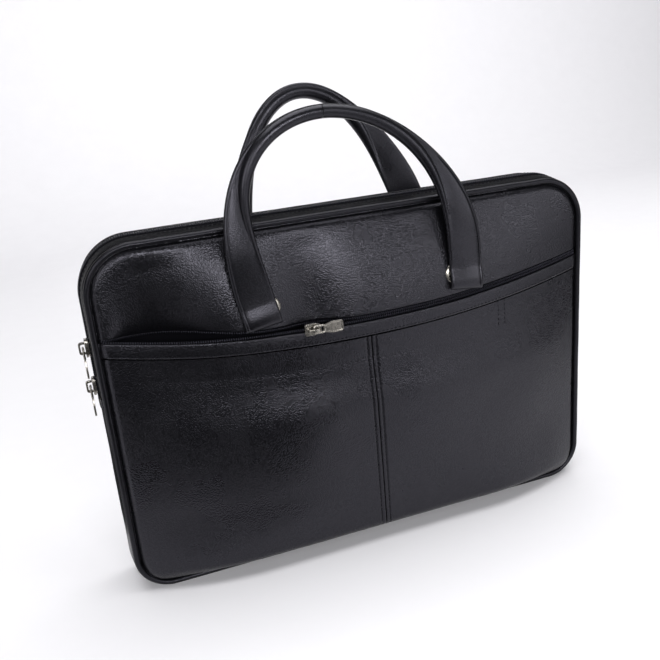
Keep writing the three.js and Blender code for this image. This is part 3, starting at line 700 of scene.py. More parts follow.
def panel_half_width(z):
    """Half the panel's width at a height, less what the round corners take and with its tuck"""
    corners = edge_roll(z - PANEL_LOW, LOW_RADIUS) + edge_roll(PANEL_HIGH - z, HIGH_RADIUS)
    return PANEL_HALF - corners + SEAM_TUCK


def corner_rows(radius, step=GRID_STEP):
    """Distances from a panel's straight edge that climb its corner in even steps of arc"""
    angles = np.linspace(0, np.pi / 2, round(radius * np.pi / 2 / step))
    return radius * (1 - np.cos(angles))


def full_columns():
    """Places of a panel's columns, from -1 at its left seam to 1 at its right one"""
    return spaced(2 * PANEL_HALF) / PANEL_HALF - 1


LOW_ROWS = PANEL_LOW + corner_rows(LOW_RADIUS)
HIGH_ROWS = PANEL_HIGH - corner_rows(HIGH_RADIUS)[::-1]
LOW_ROWS[0] -= SEAM_TUCK
HIGH_ROWS[-1] += SEAM_TUCK


def upper_panel():
    column = full_columns()[None, :]
    foot = upper_foot(column * PANEL_HALF)
    rise = spaced(UPPER_RISE, end=False)[:, None] / UPPER_RISE
    z = np.concatenate([mix(foot, HIGH_ROWS[0], rise), level(HIGH_ROWS[1:], column)])
    x = column * panel_half_width(z)
    face = upper_face(x, z) + undulation(x, z, 11) - seam_dive(x, z)
    rolled = face - edge_roll(z - upper_foot(x))
    sew("upper_panel", front_grid(x, rolled, z), front_grid(x, face - LEATHER, z))


def back_panel():
    column = full_columns()[None, :]
    middle = np.arange(LOW_ROWS[-1] + GRID_STEP, HIGH_ROWS[0], GRID_STEP)
    z = level(np.concatenate([LOW_ROWS, middle, HIGH_ROWS]), column)
    x = column * panel_half_width(z)
    face = back_face(x, z) + undulation(x, z, 21) - seam_dive(x, z)
    sew("back_panel", front_grid(x, -face, z), front_grid(x, LEATHER - face, z))


upper_panel()
back_panel()

# %% [markdown]
# ## Front pocket
# The pocket's front is two panels that meet in a seam down the middle, with a welt band sewn along the top.
# Both halves share one function. Beside the seam a row of stitches pulls each half in. A little below the
# band, where the turned hem ends inside, a faint crease and a ledge run across, and from there the leather
# swells into a belly that hangs a few millimetres over the bottom seam.

# %% Front pocket
SEAM_HALF = 0.2
SEAM_ROLL = 0.8
STITCH_FROM_SEAM = 3.5
STITCH_GROOVE = 0.9
STITCH_GROOVE_HALF = 0.5
PUCKER = 0.1
PUCKER_REACH = 5.0
POCKET_RISE = 150.0
POCKET_TOP_GAP = 0.4
POCKET_TOP_ROLL = 0.4
HEM_BELOW = 18.0
HEM_LEDGE = 0.3
HEM_LEDGE_HALF = 2.0
HEM_CREASE = 0.35
HEM_CREASE_HALF = 2.5
BELLY = 5.0
BELLY_REACH = 46.0
SAG_BOTTOM = 14.0
SAG_SIDE = 100.0
SAG_ENDS = (10.0, 60.0)
STITCH_PITCH = 3.4


def stitch_groove(distance):
    """How deep a row of stitches pulls the leather in, at a distance from the row"""
    return STITCH_GROOVE * np.exp(-(distance / STITCH_GROOVE_HALF) ** 2)


def pocket_swell(x, z):
    """How far the pocket's front stands out: it swells below the hem and hangs over the bottom seam"""
    below_band = mouth_height(x) - BAND_HEIGHT - z
    up = z - PANEL_LOW
    side_reach = mix(SAG_SIDE, SHOULDER_SIDE, smoothstep(up, *SAG_ENDS))
    side = shoulder((PANEL_HALF - np.abs(x)) / side_reach)
    full = side * shoulder(up / SAG_BOTTOM) * shoulder((PANEL_HIGH - z) / SHOULDER_TOP)
    ledge = HEM_LEDGE * smoothstep(below_band, HEM_BELOW - HEM_LEDGE_HALF, HEM_BELOW + HEM_LEDGE_HALF)
    crease = HEM_CREASE * np.exp(-((below_band - HEM_BELOW) / HEM_CREASE_HALF) ** 2)
    belly = BELLY * smoothstep(below_band, HEM_BELOW, HEM_BELOW + BELLY_REACH)
    return (FRONT_PILLOW + belly + (ledge - crease)) * full


def pocket_skin(x, z):
    return pocket_face(x, z) - FRONT_PILLOW * pillow(x, z) + pocket_swell(x, z) + undulation(x, z, 31)


def pocket_half(node, side):
    across = spaced(PANEL_HALF)[None, :] / PANEL_HALF
    top = mouth_height(across * PANEL_HALF) - BAND_HEIGHT - POCKET_TOP_GAP
    rise = spaced(POCKET_RISE, start=False)[1:, None] / POCKET_RISE
    z = np.concatenate([level(LOW_ROWS, across), mix(LOW_ROWS[-1], top, rise)])
    from_seam = across * (panel_half_width(z) - SEAM_HALF)
    x = side * (SEAM_HALF + from_seam)
    below_band = mouth_height(x) - BAND_HEIGHT - z
    face = pocket_skin(x, z) - seam_dive(x, z)
    pucker = PUCKER * np.sin(2 * np.pi * z / STITCH_PITCH) * np.exp(-from_seam / PUCKER_REACH)
    roll = np.maximum(edge_roll(from_seam, SEAM_ROLL), edge_roll(below_band, POCKET_TOP_ROLL))
    rolled = face + pucker - roll - stitch_groove(from_seam - STITCH_FROM_SEAM)
    sew(node, front_grid(x, rolled, z), front_grid(x, face - LEATHER, z))


pocket_half("pocket_left", -1)
pocket_half("pocket_right", 1)

# %% [markdown]
# ## Welt band
# The band along the pocket's mouth is a folded strip of leather. So it is thicker than the panels, stands
# slightly proud, swells a little in its middle and is rounded along both edges, which leaves a dark groove
# under it.

# %% Welt band
BAND_PROUD = 0.6
BAND_THICKNESS = 2.4
BAND_FULLNESS = 0.3
BAND_ROLL = 0.7
BAND_GROOVE = 1.8
BAND_STEP = 1.2
BAND_WAVE, BAND_WAVE_SIZE = 0.08, 26.0


def welt_band():
    x = full_columns()[None, :] * (PANEL_HALF + SEAM_TUCK)
    down = spaced(BAND_HEIGHT, BAND_STEP)[:, None]
    z = mouth_height(x) - down
    x = np.repeat(x, down.size, 0)
    fullness = BAND_FULLNESS * np.sin(np.pi * down / BAND_HEIGHT)
    flat = pocket_face(x, z) + BAND_PROUD
    face = flat + fullness + BAND_WAVE * soft_noise(x, z, BAND_WAVE_SIZE, 41) - seam_dive(x, z)
    rolled = face - edge_roll(down, BAND_ROLL) - edge_roll(BAND_HEIGHT - down, BAND_GROOVE)
    sew("pocket_band", front_grid(x, rolled, z), front_grid(x, flat - BAND_THICKNESS, z))


welt_band()

# %% [markdown]
# ## Gusset and zip facings
# One long strip of leather goes down one side, under the bag and up the other. Above it, two narrow strips
# face the zip. All three are sheets again: their rows follow the outline, and their columns go across the
# depth over a low crown. The gusset's two ends are folded over the zip, so they are thicker there.

# %% Gusset and zip facings
ZIP_END_HEIGHT = 166.0
ZIP_TAPE_HALF = 7.0
FACING_EDGE = ZIP_TAPE_HALF + 0.3
HEM_LENGTH = 9.0
HEM_SLOPE = 0.8
HEM_HEIGHT = 0.9
STRIP_STEP = 2.0
STRIP_WAVE, STRIP_WAVE_SIZE = 0.25, 24.0
STRIP_ROLL = 0.9


def outline_stations(upper, step=GRID_STEP):
    """The outline above or below the zip's two ends, from left to right, with its outward directions"""
    radius = CORNER_TOP if upper else CORNER_BOTTOM
    turn = 1 if upper else -1
    corner_z = BODY_HEIGHT - radius if upper else radius
    side = ZIP_END_HEIGHT + turn * spaced(turn * (corner_z - ZIP_END_HEIGHT), step, end=False)
    angle = np.linspace(0, np.pi / 2, round(radius * np.pi / 2 / step))[1:]
    half_x = np.concatenate([np.full(side.size, -BODY_HALF), -(BODY_HALF - radius) - radius * np.cos(angle)])
    half_z = np.concatenate([side, corner_z + turn * radius * np.sin(angle)])
    side_out = np.tile([-1.0, 0.0], (side.size, 1))
    half_out = np.concatenate([side_out, np.stack([-np.cos(angle), turn * np.sin(angle)], -1)])
    top = np.arange(half_x[-1] + step, 0, step)
    flat_x = np.concatenate([top, -top[::-1]])
    x = np.concatenate([half_x, flat_x, -half_x[::-1]])
    z = np.concatenate([half_z, np.full(flat_x.size, half_z[-1]), half_z[::-1]])
    flat_out = np.tile([0.0, float(turn)], (flat_x.size, 1))
    out = np.concatenate([half_out, flat_out, half_out[::-1] * [-1, 1]])
    along = np.concatenate([[0], np.cumsum(np.hypot(np.diff(x), np.diff(z)))])
    return {"x": x, "z": z, "out": out, "along": along}


def on_gusset(stations, depth, height):
    """Points at a place across the depth and a height above the outline, over the gusset's crown"""
    out = stations["out"][:, None, :]
    crown = GUSSET_CROWN * (1 - (depth / GUSSET_HALF) ** 2) * (1 + np.minimum(0, out[..., 1]))
    raised = height + crown
    x = stations["x"][:, None] + out[..., 0] * raised
    z = stations["z"][:, None] + out[..., 1] * raised
    return np.stack([x, np.broadcast_to(depth, x.shape), z], -1)


def strip(node, stations, low, high, hems, seed, material):
    """A strip of leather along the outline, from one place across the depth to another"""
    across = spaced(high - low, STRIP_STEP)[None, :]
    depth = low + across
    along = stations["along"][:, None]
    from_end = np.minimum(along, along[-1] - along)
    folded = smoothstep(from_end, HEM_LENGTH + HEM_SLOPE, HEM_LENGTH - HEM_SLOPE)
    hem = HEM_HEIGHT * folded if hems else 0 * along
    off_floor = 1 + np.minimum(0, stations["out"][:, None, 1])
    wave = STRIP_WAVE * soft_noise(along, depth * 2, STRIP_WAVE_SIZE, seed) * off_floor
    roll = sum(edge_roll(inside, STRIP_ROLL) for inside in (across, high - low - across, from_end))
    outer = on_gusset(stations, depth, hem + wave - np.minimum(roll, STRIP_ROLL))
    inner = on_gusset(stations, depth, np.full_like(wave, -LEATHER))
    sew(node, outer, inner, material)


lower_line = outline_stations(False)
upper_line = outline_stations(True)
strip("gusset", lower_line, -GUSSET_HALF, GUSSET_HALF, True, 51, hide)
strip("zip_facing_front", upper_line, -GUSSET_HALF, -FACING_EDGE, False, 52, edge_hide)
strip("zip_facing_back", upper_line, FACING_EDGE, GUSSET_HALF, False, 53, edge_hide)

# %% [markdown]
# ## Growing along a path
# Piping, zip loops and stitches all follow a path, which is what Geometry Nodes do best. The path goes in as
# a mesh of edges, with the way out of the leather stored at each point, and a tree turns it into a curve.
# What the tree makes is kept as a plain mesh, so that it can ride on its body like any other piece.


# %% Growing along a path
def group_socket(tree, name, kind, value=None):
    socket = tree.interface.new_socket(name, in_out="INPUT", socket_type=kind)
    if value is not None:
        socket.default_value = value
    return socket.identifier


def start_tree(name):
    tree = bpy.data.node_groups.new(name, "GeometryNodeTree")
    tree.interface.new_socket("Geometry", in_out="INPUT", socket_type="NodeSocketGeometry")
    tree.interface.new_socket("Geometry", in_out="OUTPUT", socket_type="NodeSocketGeometry")
    return tree


def end_tree(tree, geometry, material):
    """Realises what the tree made and gives it its finish"""
    smooth = add(tree, "GeometryNodeSetShadeSmooth", inputs={"Geometry": geometry})
    real = add(tree, "GeometryNodeRealizeInstances", inputs={"Geometry": smooth.outputs["Geometry"]})
    finished = add(tree, "GeometryNodeSetMaterial", inputs={
        "Geometry": real.outputs["Geometry"], "Material": material,
    })
    add(tree, "NodeGroupOutput", inputs={"Geometry": finished.outputs["Geometry"]})


def path_object(name, paths, closed=False):
    """Edges along each path: a list of (points, outward directions) in millimetres"""
    points, outs, edges = [], [], []
    for path, out in paths:
        start = len(points)
        points += (np.asarray(path) * MM).tolist()
        outs += np.asarray(out).tolist()
        edges += [(start + i, start + i + 1) for i in range(len(path) - 1)]
        if closed:
            edges.append((len(points) - 1, start))
    mesh = bpy.data.meshes.new(name)
    mesh.from_pydata(points, edges, [])
    mesh.attributes.new("out", "FLOAT_VECTOR", "POINT").data.foreach_set("vector", np.ravel(outs))
    return put_in_scene(name, mesh)


def grow(name, path, tree, values):
    """Runs a tree on a path, keeps the result as a plain mesh and drops the path"""
    modifier = path.modifiers.new("grow", "NODES")
    modifier.node_group = tree
    for identifier, value in values.items():
        modifier[identifier] = value
    bpy.context.view_layer.update()
    evaluated = path.evaluated_get(bpy.context.evaluated_depsgraph_get())
    mesh = bpy.data.meshes.new_from_object(evaluated)
    mesh.name = name
    bpy.data.objects.remove(path)
    return put_in_scene(name, mesh)


print("paths become curves in Geometry Nodes")

# %% [markdown]
# ## Piping
# Piping is a cord wrapped in leather and caught in the seam between panel and gusset. Its path is a closed
# ring round the whole outline, with the small waves that sewing leaves, and a tree sweeps a circle along
# it.

# %% Piping
PIPING_SIDES = 16
PIPING_WAVE = 0.12
PIPING_WAVE_SIZES = (17.0, 21.0)


def round_cord_tree():
    tree = start_tree("round cord along a path")
    sockets = {
        "radius": group_socket(tree, "Radius", "NodeSocketFloat", PIPING_RADIUS * MM),
        "sides": group_socket(tree, "Sides", "NodeSocketInt", PIPING_SIDES),
        "material": group_socket(tree, "Material", "NodeSocketMaterial"),
    }
    given = add(tree, "NodeGroupInput")
    path = add(tree, "GeometryNodeMeshToCurve", inputs={"Mesh": given.outputs["Geometry"]})
    circle = add(tree, "GeometryNodeCurvePrimitiveCircle", {"mode": "RADIUS"}, {
        "Resolution": given.outputs["Sides"], "Radius": given.outputs["Radius"],
    })
    tube = add(tree, "GeometryNodeCurveToMesh", inputs={
        "Curve": path.outputs["Curve"], "Profile Curve": circle.outputs["Curve"],
    })
    end_tree(tree, tube.outputs["Mesh"], given.outputs["Material"])
    return tree, sockets


cord_tree, cord_sockets = round_cord_tree()


def piping(node, towards, seed):
    name = node + "_leather"
    x, z, out = (np.concatenate([upper_line[key], lower_line[key][::-1]]) for key in ("x", "z", "out"))
    wave, forward_wave = (
        PIPING_WAVE * soft_noise(x, z, size, seed + number) for number, size in enumerate(PIPING_WAVE_SIZES)
    )
    inset = PIPING_RADIUS + wave * np.clip(1 + out[:, 1], 0, 1)
    forward = PIPING_FORWARD + forward_wave
    path = np.stack([x - out[:, 0] * inset, towards * forward, z - out[:, 1] * inset], -1)
    ring = path_object(name, [(path, np.stack([out[:, 0], 0 * x, out[:, 1]], -1))], closed=True)
    cord = grow(name, ring, cord_tree, {
        cord_sockets["radius"]: PIPING_RADIUS * MM,
        cord_sockets["sides"]: PIPING_SIDES,
        cord_sockets["material"]: piping_hide,
    })
    fit(cord, "leather_body", node)


piping("piping_front", -1, 61)
piping("piping_back", 1, 63)

# %% [markdown]
# ## Repeating along a path
# A zip's coil is rows of nylon loops, and a seam is a row of stitches. Each of them is a small ball,
# stretched to size and set down at even steps along a path, turned along the path and out of the leather.
# One tree does both. Its balls have few faces, because there are hundreds of them.


# %% Repeating along a path
def repeat_tree():
    tree = start_tree("repeat along a path")
    sockets = {
        "pitch": group_socket(tree, "Pitch", "NodeSocketFloat", STITCH_PITCH * MM),
        "size": group_socket(tree, "Half size", "NodeSocketVector"),
        "material": group_socket(tree, "Material", "NodeSocketMaterial"),
    }
    given = add(tree, "NodeGroupInput")
    path = add(tree, "GeometryNodeMeshToCurve", inputs={"Mesh": given.outputs["Geometry"]})
    even = add(tree, "GeometryNodeResampleCurve", {"mode": "LENGTH"}, {
        "Curve": path.outputs["Curve"], "Length": given.outputs["Pitch"],
    })
    bead = add(tree, "GeometryNodeMeshUVSphere", inputs={"Segments": 8, "Rings": 5, "Radius": 1.0})
    shaped = add(tree, "GeometryNodeTransform", inputs={
        "Geometry": bead.outputs["Mesh"], "Scale": given.outputs["Half size"],
    })
    tangent = add(tree, "GeometryNodeInputTangent")
    out = add(tree, "GeometryNodeInputNamedAttribute", {"data_type": "FLOAT_VECTOR"}, {"Name": "out"})
    along = add(tree, "FunctionNodeAlignRotationToVector", {"axis": "X"}, {"Vector": tangent.outputs[0]})
    turned = add(tree, "FunctionNodeAlignRotationToVector", {"axis": "Z", "pivot_axis": "X"}, {
        "Rotation": along.outputs[0], "Vector": out.outputs[0],
    })
    placed = add(tree, "GeometryNodeInstanceOnPoints", inputs={
        "Points": even.outputs["Curve"], "Instance": shaped.outputs["Geometry"],
        "Rotation": turned.outputs[0],
    })
    end_tree(tree, placed.outputs["Instances"], given.outputs["Material"])
    return tree, sockets


repeat_along, repeat_sockets = repeat_tree()


def repeat(name, paths, pitch, half_size, material):
    return grow(name, path_object(name, paths), repeat_along, {
        repeat_sockets["pitch"]: pitch * MM,
        repeat_sockets["size"]: Vector(half_size) * MM,
        repeat_sockets["material"]: material,
    })


print("repeated by", len(repeat_along.nodes), "nodes")

# %% [markdown]
# ## Main zip
# The zip goes round the top in one curve. Its tape is a thin woven strip with its own UV map, so that the
# threads follow it round the corners. The coil is two rows of nylon loops that hook into each other.

# %% Main zip
TAPE_SUNK = 0.6
TAPE_THICKNESS = 0.9
TAPE_STEP = 1.5
TAPE_GROOVE, TAPE_GROOVE_AT, TAPE_GROOVE_HALF = 0.25, 4.4, 0.5
COIL_PITCH = 1.7
COIL_LOOP = (0.62, 1.75, 0.75)
COIL_ROW = 1.25
COIL_LIFT = 0.05


def zip_tape(name, node, outer, inner, along, across):
    """A woven tape between two grids of points, with its threads along and across it"""
    flat = np.stack(np.broadcast_arrays(along, across), -1).reshape(-1, 2)
    tape = make_piece(name, *sheet_shell(outer, inner), tape_cloth, uv=np.concatenate([flat, flat]))
    fit(tape, "zip_tape", node)


def zip_coil(name, first_row, second_row, loop):
    """Two rows of loops; the second row starts a point later, so that its loops fall between the others"""
    rows = [first_row, [values[1:] for values in second_row]]
    fit(repeat(name, rows, COIL_PITCH, loop, nylon), "zip_tape")


def on_strip(line, depth, height):
    """A path along the outline at one place across the depth, with its outward directions"""
    out = np.stack([line["out"][:, 0], 0 * line["x"], line["out"][:, 1]], -1)
    return on_gusset(line, np.array([[depth]]), np.full((line["x"].size, 1), height))[:, 0], out


def main_zip():
    depth = spaced(2 * ZIP_TAPE_HALF, TAPE_STEP)[None, :] - ZIP_TAPE_HALF
    groove = TAPE_GROOVE * np.exp(-((np.abs(depth) - TAPE_GROOVE_AT) / TAPE_GROOVE_HALF) ** 2)
    height = np.broadcast_to(-TAPE_SUNK - groove, (upper_line["x"].size, depth.size))
    outer, inner = (on_gusset(upper_line, depth, height - down) for down in (0, TAPE_THICKNESS))
    zip_tape("main_zip_tape", "main_zip", outer, inner, upper_line["along"][:, None], depth)
    rows = (on_strip(upper_line, side * COIL_ROW, COIL_LIFT) for side in (-1, 1))
    zip_coil("main_zip_coil", *rows, COIL_LOOP)


main_zip()

# %% [markdown]
# ## Pocket zip
# The pocket's two tapes lie behind the leather that they are sewn to, and only the coil shows in the slit.
# Left of the slider they part, so each carries its own row of loops.

# %% Pocket zip
TAPE_LAP = 4.0
TAPE_END_GAP = 0.3
TAPE_BEHIND = 0.3
TAPE_ROWS = 9
COIL_GAP = 0.3
COIL_INSET = 1.0
COIL_LEAST = 0.5
COIL_BEHIND = 1.25
COIL_FROM_SEAM = 2.0
POCKET_LOOP = (0.62, 1.3, 0.8)


def tape_reach(x):
    """How far a tape reaches from its leather's edge to the middle of the slit"""
    return (zip_height(x) - COIL_GAP) / 2


def tape_face(upper, x, from_edge):
    """Height and forward distance of a point at a distance from the leather's edge towards the coil"""
    if upper:
        z = upper_foot(x) - from_edge
        return z, upper_face(x, z)
    z = mouth_height(x) + from_edge
    return z, pocket_face(x, z)


def pocket_tape(name, node, upper):
    x = full_columns()[None, :] * (PANEL_HALF - TAPE_END_GAP)
    share = np.linspace(0, 1, TAPE_ROWS)[:, None]
    from_edge = mix(-TAPE_LAP, tape_reach(x), share)
    columns = np.repeat(x, share.size, 0)
    z, forward = tape_face(upper, columns, from_edge)
    face = forward - LEATHER - TAPE_BEHIND
    outer, inner = (front_grid(columns, face - back, z) for back in (0, TAPE_THICKNESS))
    zip_tape(name, node, outer, inner, columns, from_edge)


def pocket_coil():
    x = np.arange(-PANEL_HALF + COIL_FROM_SEAM, PANEL_HALF - COIL_FROM_SEAM, 1.0)
    rows = []
    for upper in (True, False):
        z, forward = tape_face(upper, x, np.maximum(tape_reach(x) - COIL_INSET, COIL_LEAST))
        rows.append((front_grid(x, forward - COIL_BEHIND, z), np.tile([0.0, -1.0, 0.0], (x.size, 1))))
    zip_coil("pocket_zip_coil", *rows, POCKET_LOOP)


pocket_tape("pocket_tape_upper", "pocket_zip_upper", True)
pocket_tape("pocket_tape_lower", "pocket_zip_lower", False)
pocket_coil()

# %% [markdown]
# ## The pocket's back wall
# Behind the open mouth hangs the pocket's wall of lining cloth, which makes the gap look deep and dark. It is
# one sheet that its seams hold stretched.

# %% The pocket's back wall
LINING = 1.2
LINING_TUCK = 0.5
LINING_COLUMNS, LINING_ROWS = 120, 60
LINING_LAP, LINING_LAP_ROWS = 7.0, 4
TAPE_ROOM = TAPE_THICKNESS + 0.8
POCKET_ROOM = 11.0
POCKET_ROOM_REACH = 85.0


def pocket_wall():
    column = np.linspace(-1, 1, LINING_COLUMNS)[None, :]
    foot = upper_foot(column * PANEL_HALF)
    rise = np.linspace(0, 1, LINING_ROWS)[1:, None]
    lap = np.linspace(0, LINING_LAP, LINING_LAP_ROWS)[1:, None]
    z = np.concatenate([level(LOW_ROWS, column), mix(LOW_ROWS[-1], foot, rise), foot + lap])
    x = column * panel_half_width(z)
    foot = np.broadcast_to(foot, z.shape)
    mouth_room = skin(x, foot) - upper_face(x, foot)
    room = mix(mouth_room, POCKET_ROOM * pillow(x, z), shoulder((foot - z) / POCKET_ROOM_REACH))
    face = np.where(z >= foot, upper_face(x, z), skin(x, z) - room) - LEATHER - TAPE_ROOM
    face = face - LINING_TUCK * seam_dive(x, z)
    shell = sheet_shell(front_grid(x, face, z), front_grid(x, face - LINING, z))
    wall = make_piece("pocket_wall_lining", *shell, lining_cloth)
    fit(wall, "pocket_lining", "pocket_back")


pocket_wall()

# %% [markdown]
# ## The handles' middle lines
# Each handle goes up from its left foot, over an arch and down to its right foot. The arch leans a little, as
# straps do once they have been carried. Low down a strap lies on its panel. The front straps bulge a little
# above the foot, and then they hang straight and don't follow the panel's hollows.

# %% The handles' middle lines
STRAP_X = 83.0
STRAP_WIDTH = 28.0
STRAP_THICKNESS = 4.0
STRAP_GAP = 0.5
GRIP_THICKNESS = 9.0
STRAP_LEAVES_PANEL = 248.0
LEAN_POWER = 1.5
FOOT_LIFT = 3.0
BACK_FOOT = 200.0
STRAP_BULGE = 2.2
STRAP_BULGE_HEIGHT = 206.0
STRAP_BULGE_REACH = 14.0
STRAP_HANGS_FROM = 221.0
STRAP_HANG_ENDS = (330.0, 250.0)
LINE_SAMPLES = 4001
STATIONS = 340
HANDLES = [
    {
        "name": "handle_front", "towards": -1, "top": 351.0, "fullness": 3.3, "bow": 6.0, "grip": 10.0,
        "lean": (-24.0, -2.0), "fold_left": (225.0, 350.0), "fold_right": (235.0, 350.0),
    },
    {
        "name": "handle_back", "towards": 1, "top": 363.0, "fullness": 1.7, "bow": 0.0, "grip": 12.0,
        "lean": (-15.0, 10.0), "fold_left": (210.0, 350.0), "fold_right": (275.0, 362.0),
    },
]


def handle_line(handle):
    """Stations of a handle: middle, way across, width, how far it is folded, distance from its nearer foot"""
    front = handle["towards"] < 0
    foot = float(upper_foot(STRAP_X)) + FOOT_LIFT if front else BACK_FOOT
    top, fullness, grip = handle["top"], handle["fullness"], handle["grip"]
    lean_x, lean_y = handle["lean"]

    def line_x(side, rise):
        reach = STRAP_X * np.sqrt(1 - rise ** fullness) + handle["bow"] * np.sin(np.pi * rise)
        return side * reach + lean_x * rise ** LEAN_POWER

    angle = np.linspace(np.pi, 0, LINE_SAMPLES)
    rise = np.clip(np.sin(angle), 0, 1) ** (2 / fullness)
    x, z = line_x(np.sign(np.cos(angle)), rise), foot + (top - foot) * rise
    length = np.concatenate([[0], np.cumsum(np.hypot(np.diff(x), np.diff(z)))])
    even = np.linspace(0, length[-1], STATIONS)
    x, z = np.interp(even, length, x), np.interp(even, length, z)
    left = x < lean_x
    folded = np.where(left, smoothstep(z, *handle["fold_left"]), smoothstep(z, *handle["fold_right"]))
    width = mix(STRAP_WIDTH, grip, folded)
    thickness = mix(STRAP_THICKNESS, GRIP_THICKNESS, folded)
    rests_at = np.minimum(z, STRAP_LEAVES_PANEL)
    rest_x = line_x(np.where(left, -1, 1), np.clip((rests_at - foot) / (top - foot), 0, 1))
    surface = upper_face if front else back_face
    under = np.max([surface(rest_x + share * width, rests_at) for share in (-0.5, 0, 0.5)], axis=0)
    if front:
        pulled = upper_face(rest_x, np.minimum(z, STRAP_HANGS_FROM)) - upper_face(rest_x, rests_at)
        bulge = STRAP_BULGE * np.exp(-((z - STRAP_BULGE_HEIGHT) / STRAP_BULGE_REACH) ** 2)
        under = under + np.maximum(pulled, 0) * smoothstep(z, *STRAP_HANG_ENDS) + bulge
    forward = under + STRAP_GAP + STRAP_THICKNESS / 2 + (thickness - STRAP_THICKNESS) / 4
    rise = np.clip((z - foot) / (top - foot), 0, 1)
    y = handle["towards"] * forward + lean_y * rise ** LEAN_POWER
    along = np.stack([np.gradient(x), np.gradient(z)], -1)
    along /= np.linalg.norm(along, axis=1, keepdims=True)
    across = np.stack([-along[:, 1], 0 * x, along[:, 0]], -1)
    from_end = np.minimum(even, even[-1] - even)
    return list(zip(np.stack([x, y, z], -1), across, width, folded, from_end))


handle_lines = [handle_line(handle) for handle in HANDLES]
print("stations of each handle:", [len(line) for line in handle_lines])

# %% [markdown]
# ## Handles
# Each handle starts as a flat strap on the panel. Over the top it is rolled round a cord into a grip, and
# the change happens on the way: a roll grows along the strap's inner edge while the flat part beside it gets
# narrower and slips behind. So each section is the union of a round roll and a flat flap, and the crease
# where they meet runs up the strap as a dark line. Towards its foot the strap thins to a skived end.

# %% Handles
FLAP_HALF = 1.6
FLAP_SINK = 0.7
FLAP_LEAST = 0.35
FLAP_GROOVE_AT = 0.8
FLAP_GROOVE_DEPTH, FLAP_GROOVE_HALF, FLAP_GROOVE_END = 0.4, 0.4, 0.9
PADDING = 0.5
FOOT_ROUND = 11.0
FOOT_THINNED = 0.8


def strap_section(width, folded, grip):
    """The outline of one section: positive is the outer side of the arch, then the way off the panel"""
    roll = mix(STRAP_THICKNESS / 2, grip / 2, smoothstep(folded, 0.1, 1.0))
    flap = mix(STRAP_THICKNESS / 2, FLAP_HALF, smoothstep(folded, 0, 0.5))
    centre = -width / 2 + roll
    sunk = -(roll - flap) * FLAP_SINK
    flap_end = max(width / 2 - flap - centre, FLAP_LEAST * roll)
    front_crease = math.sqrt(max(roll ** 2 - (sunk + flap) ** 2, 0))
    back_crease = math.sqrt(max(roll ** 2 - (sunk - flap) ** 2, 0))
    start = math.atan2(sunk + flap, front_crease)
    end = math.atan2(sunk - flap, back_crease) + 2 * math.pi
    turn = np.linspace(start, end, 26)
    roll_arc = np.stack([roll * np.cos(turn), roll * np.sin(turn)], -1)
    back = np.stack([np.linspace(back_crease, flap_end, 12)[1:], np.full(11, sunk - flap)], -1)
    tip_turn = np.linspace(-np.pi / 2, np.pi / 2, 11)[1:-1]
    tip = np.stack([flap_end + flap * np.cos(tip_turn), sunk + flap * np.sin(tip_turn)], -1)
    groove_at = flap_end - FLAP_GROOVE_AT
    groove_end = groove_at - FLAP_GROOVE_END
    shown = groove_at - front_crease
    edge = [flap_end, groove_at + FLAP_GROOVE_HALF, groove_at, groove_at - FLAP_GROOVE_HALF, groove_end]
    across = np.concatenate([edge, np.linspace(groove_end, front_crease, 9)[1:-1]])
    groove = np.exp(-((across - groove_at) / FLAP_GROOVE_HALF) ** 2)
    pulled_in = FLAP_GROOVE_DEPTH * smoothstep(shown, 3, 8) * groove
    over_flap = np.clip((across - front_crease) / max(shown, 1), 0, 1)
    padded = PADDING * smoothstep(shown, 3, 12) * np.sin(np.pi * over_flap)
    front = np.stack([across, sunk + flap - pulled_in + padded], -1)
    outline = np.concatenate([roll_arc, back, tip, front])
    distance = np.linalg.norm(outline, axis=1, keepdims=True)
    outline = outline * np.maximum(1, roll / np.maximum(distance, 1e-6))
    return outline + [centre, 0]


def rolled_handle(handle, line):
    out = np.array([0.0, float(handle["towards"]), 0.0])
    rings = []
    for middle, across, width, folded, from_end in line:
        section = strap_section(width, folded, handle["grip"])
        thinned = 1 - FOOT_THINNED * (1 - math.sqrt(1 - max(0, 1 - from_end / FOOT_ROUND) ** 2))
        lowered = (section[:, 1:] + STRAP_THICKNESS / 2) * thinned - STRAP_THICKNESS / 2
        rings.append(middle + section[:, :1] * across + lowered * out)
    piece = make_piece(handle["name"] + "_leather", *sweep_shell(np.array(rings)), strap_hide, 32)
    fit(piece, "leather_strap", handle["name"])


for handle, line in zip(HANDLES, handle_lines):
    rolled_handle(handle, line)

# %% [markdown]
# ## Sliders
# The sliders are small castings whose solids already have the right shape, so each is a copy of its solid
# with its loose triangles merged into whole faces and its edges rounded by a Bevel.

# %% Sliders
SLIDER_ROUND = 0.35


def round_edges(piece, width, segments, angle):
    """A Bevel on every edge that turns by more than the angle"""
    rounded = piece.modifiers.new("rounded edges", "BEVEL")
    rounded.width = width * MM
    rounded.segments = segments
    rounded.limit_method = "ANGLE"
    rounded.angle_limit = math.radians(angle)


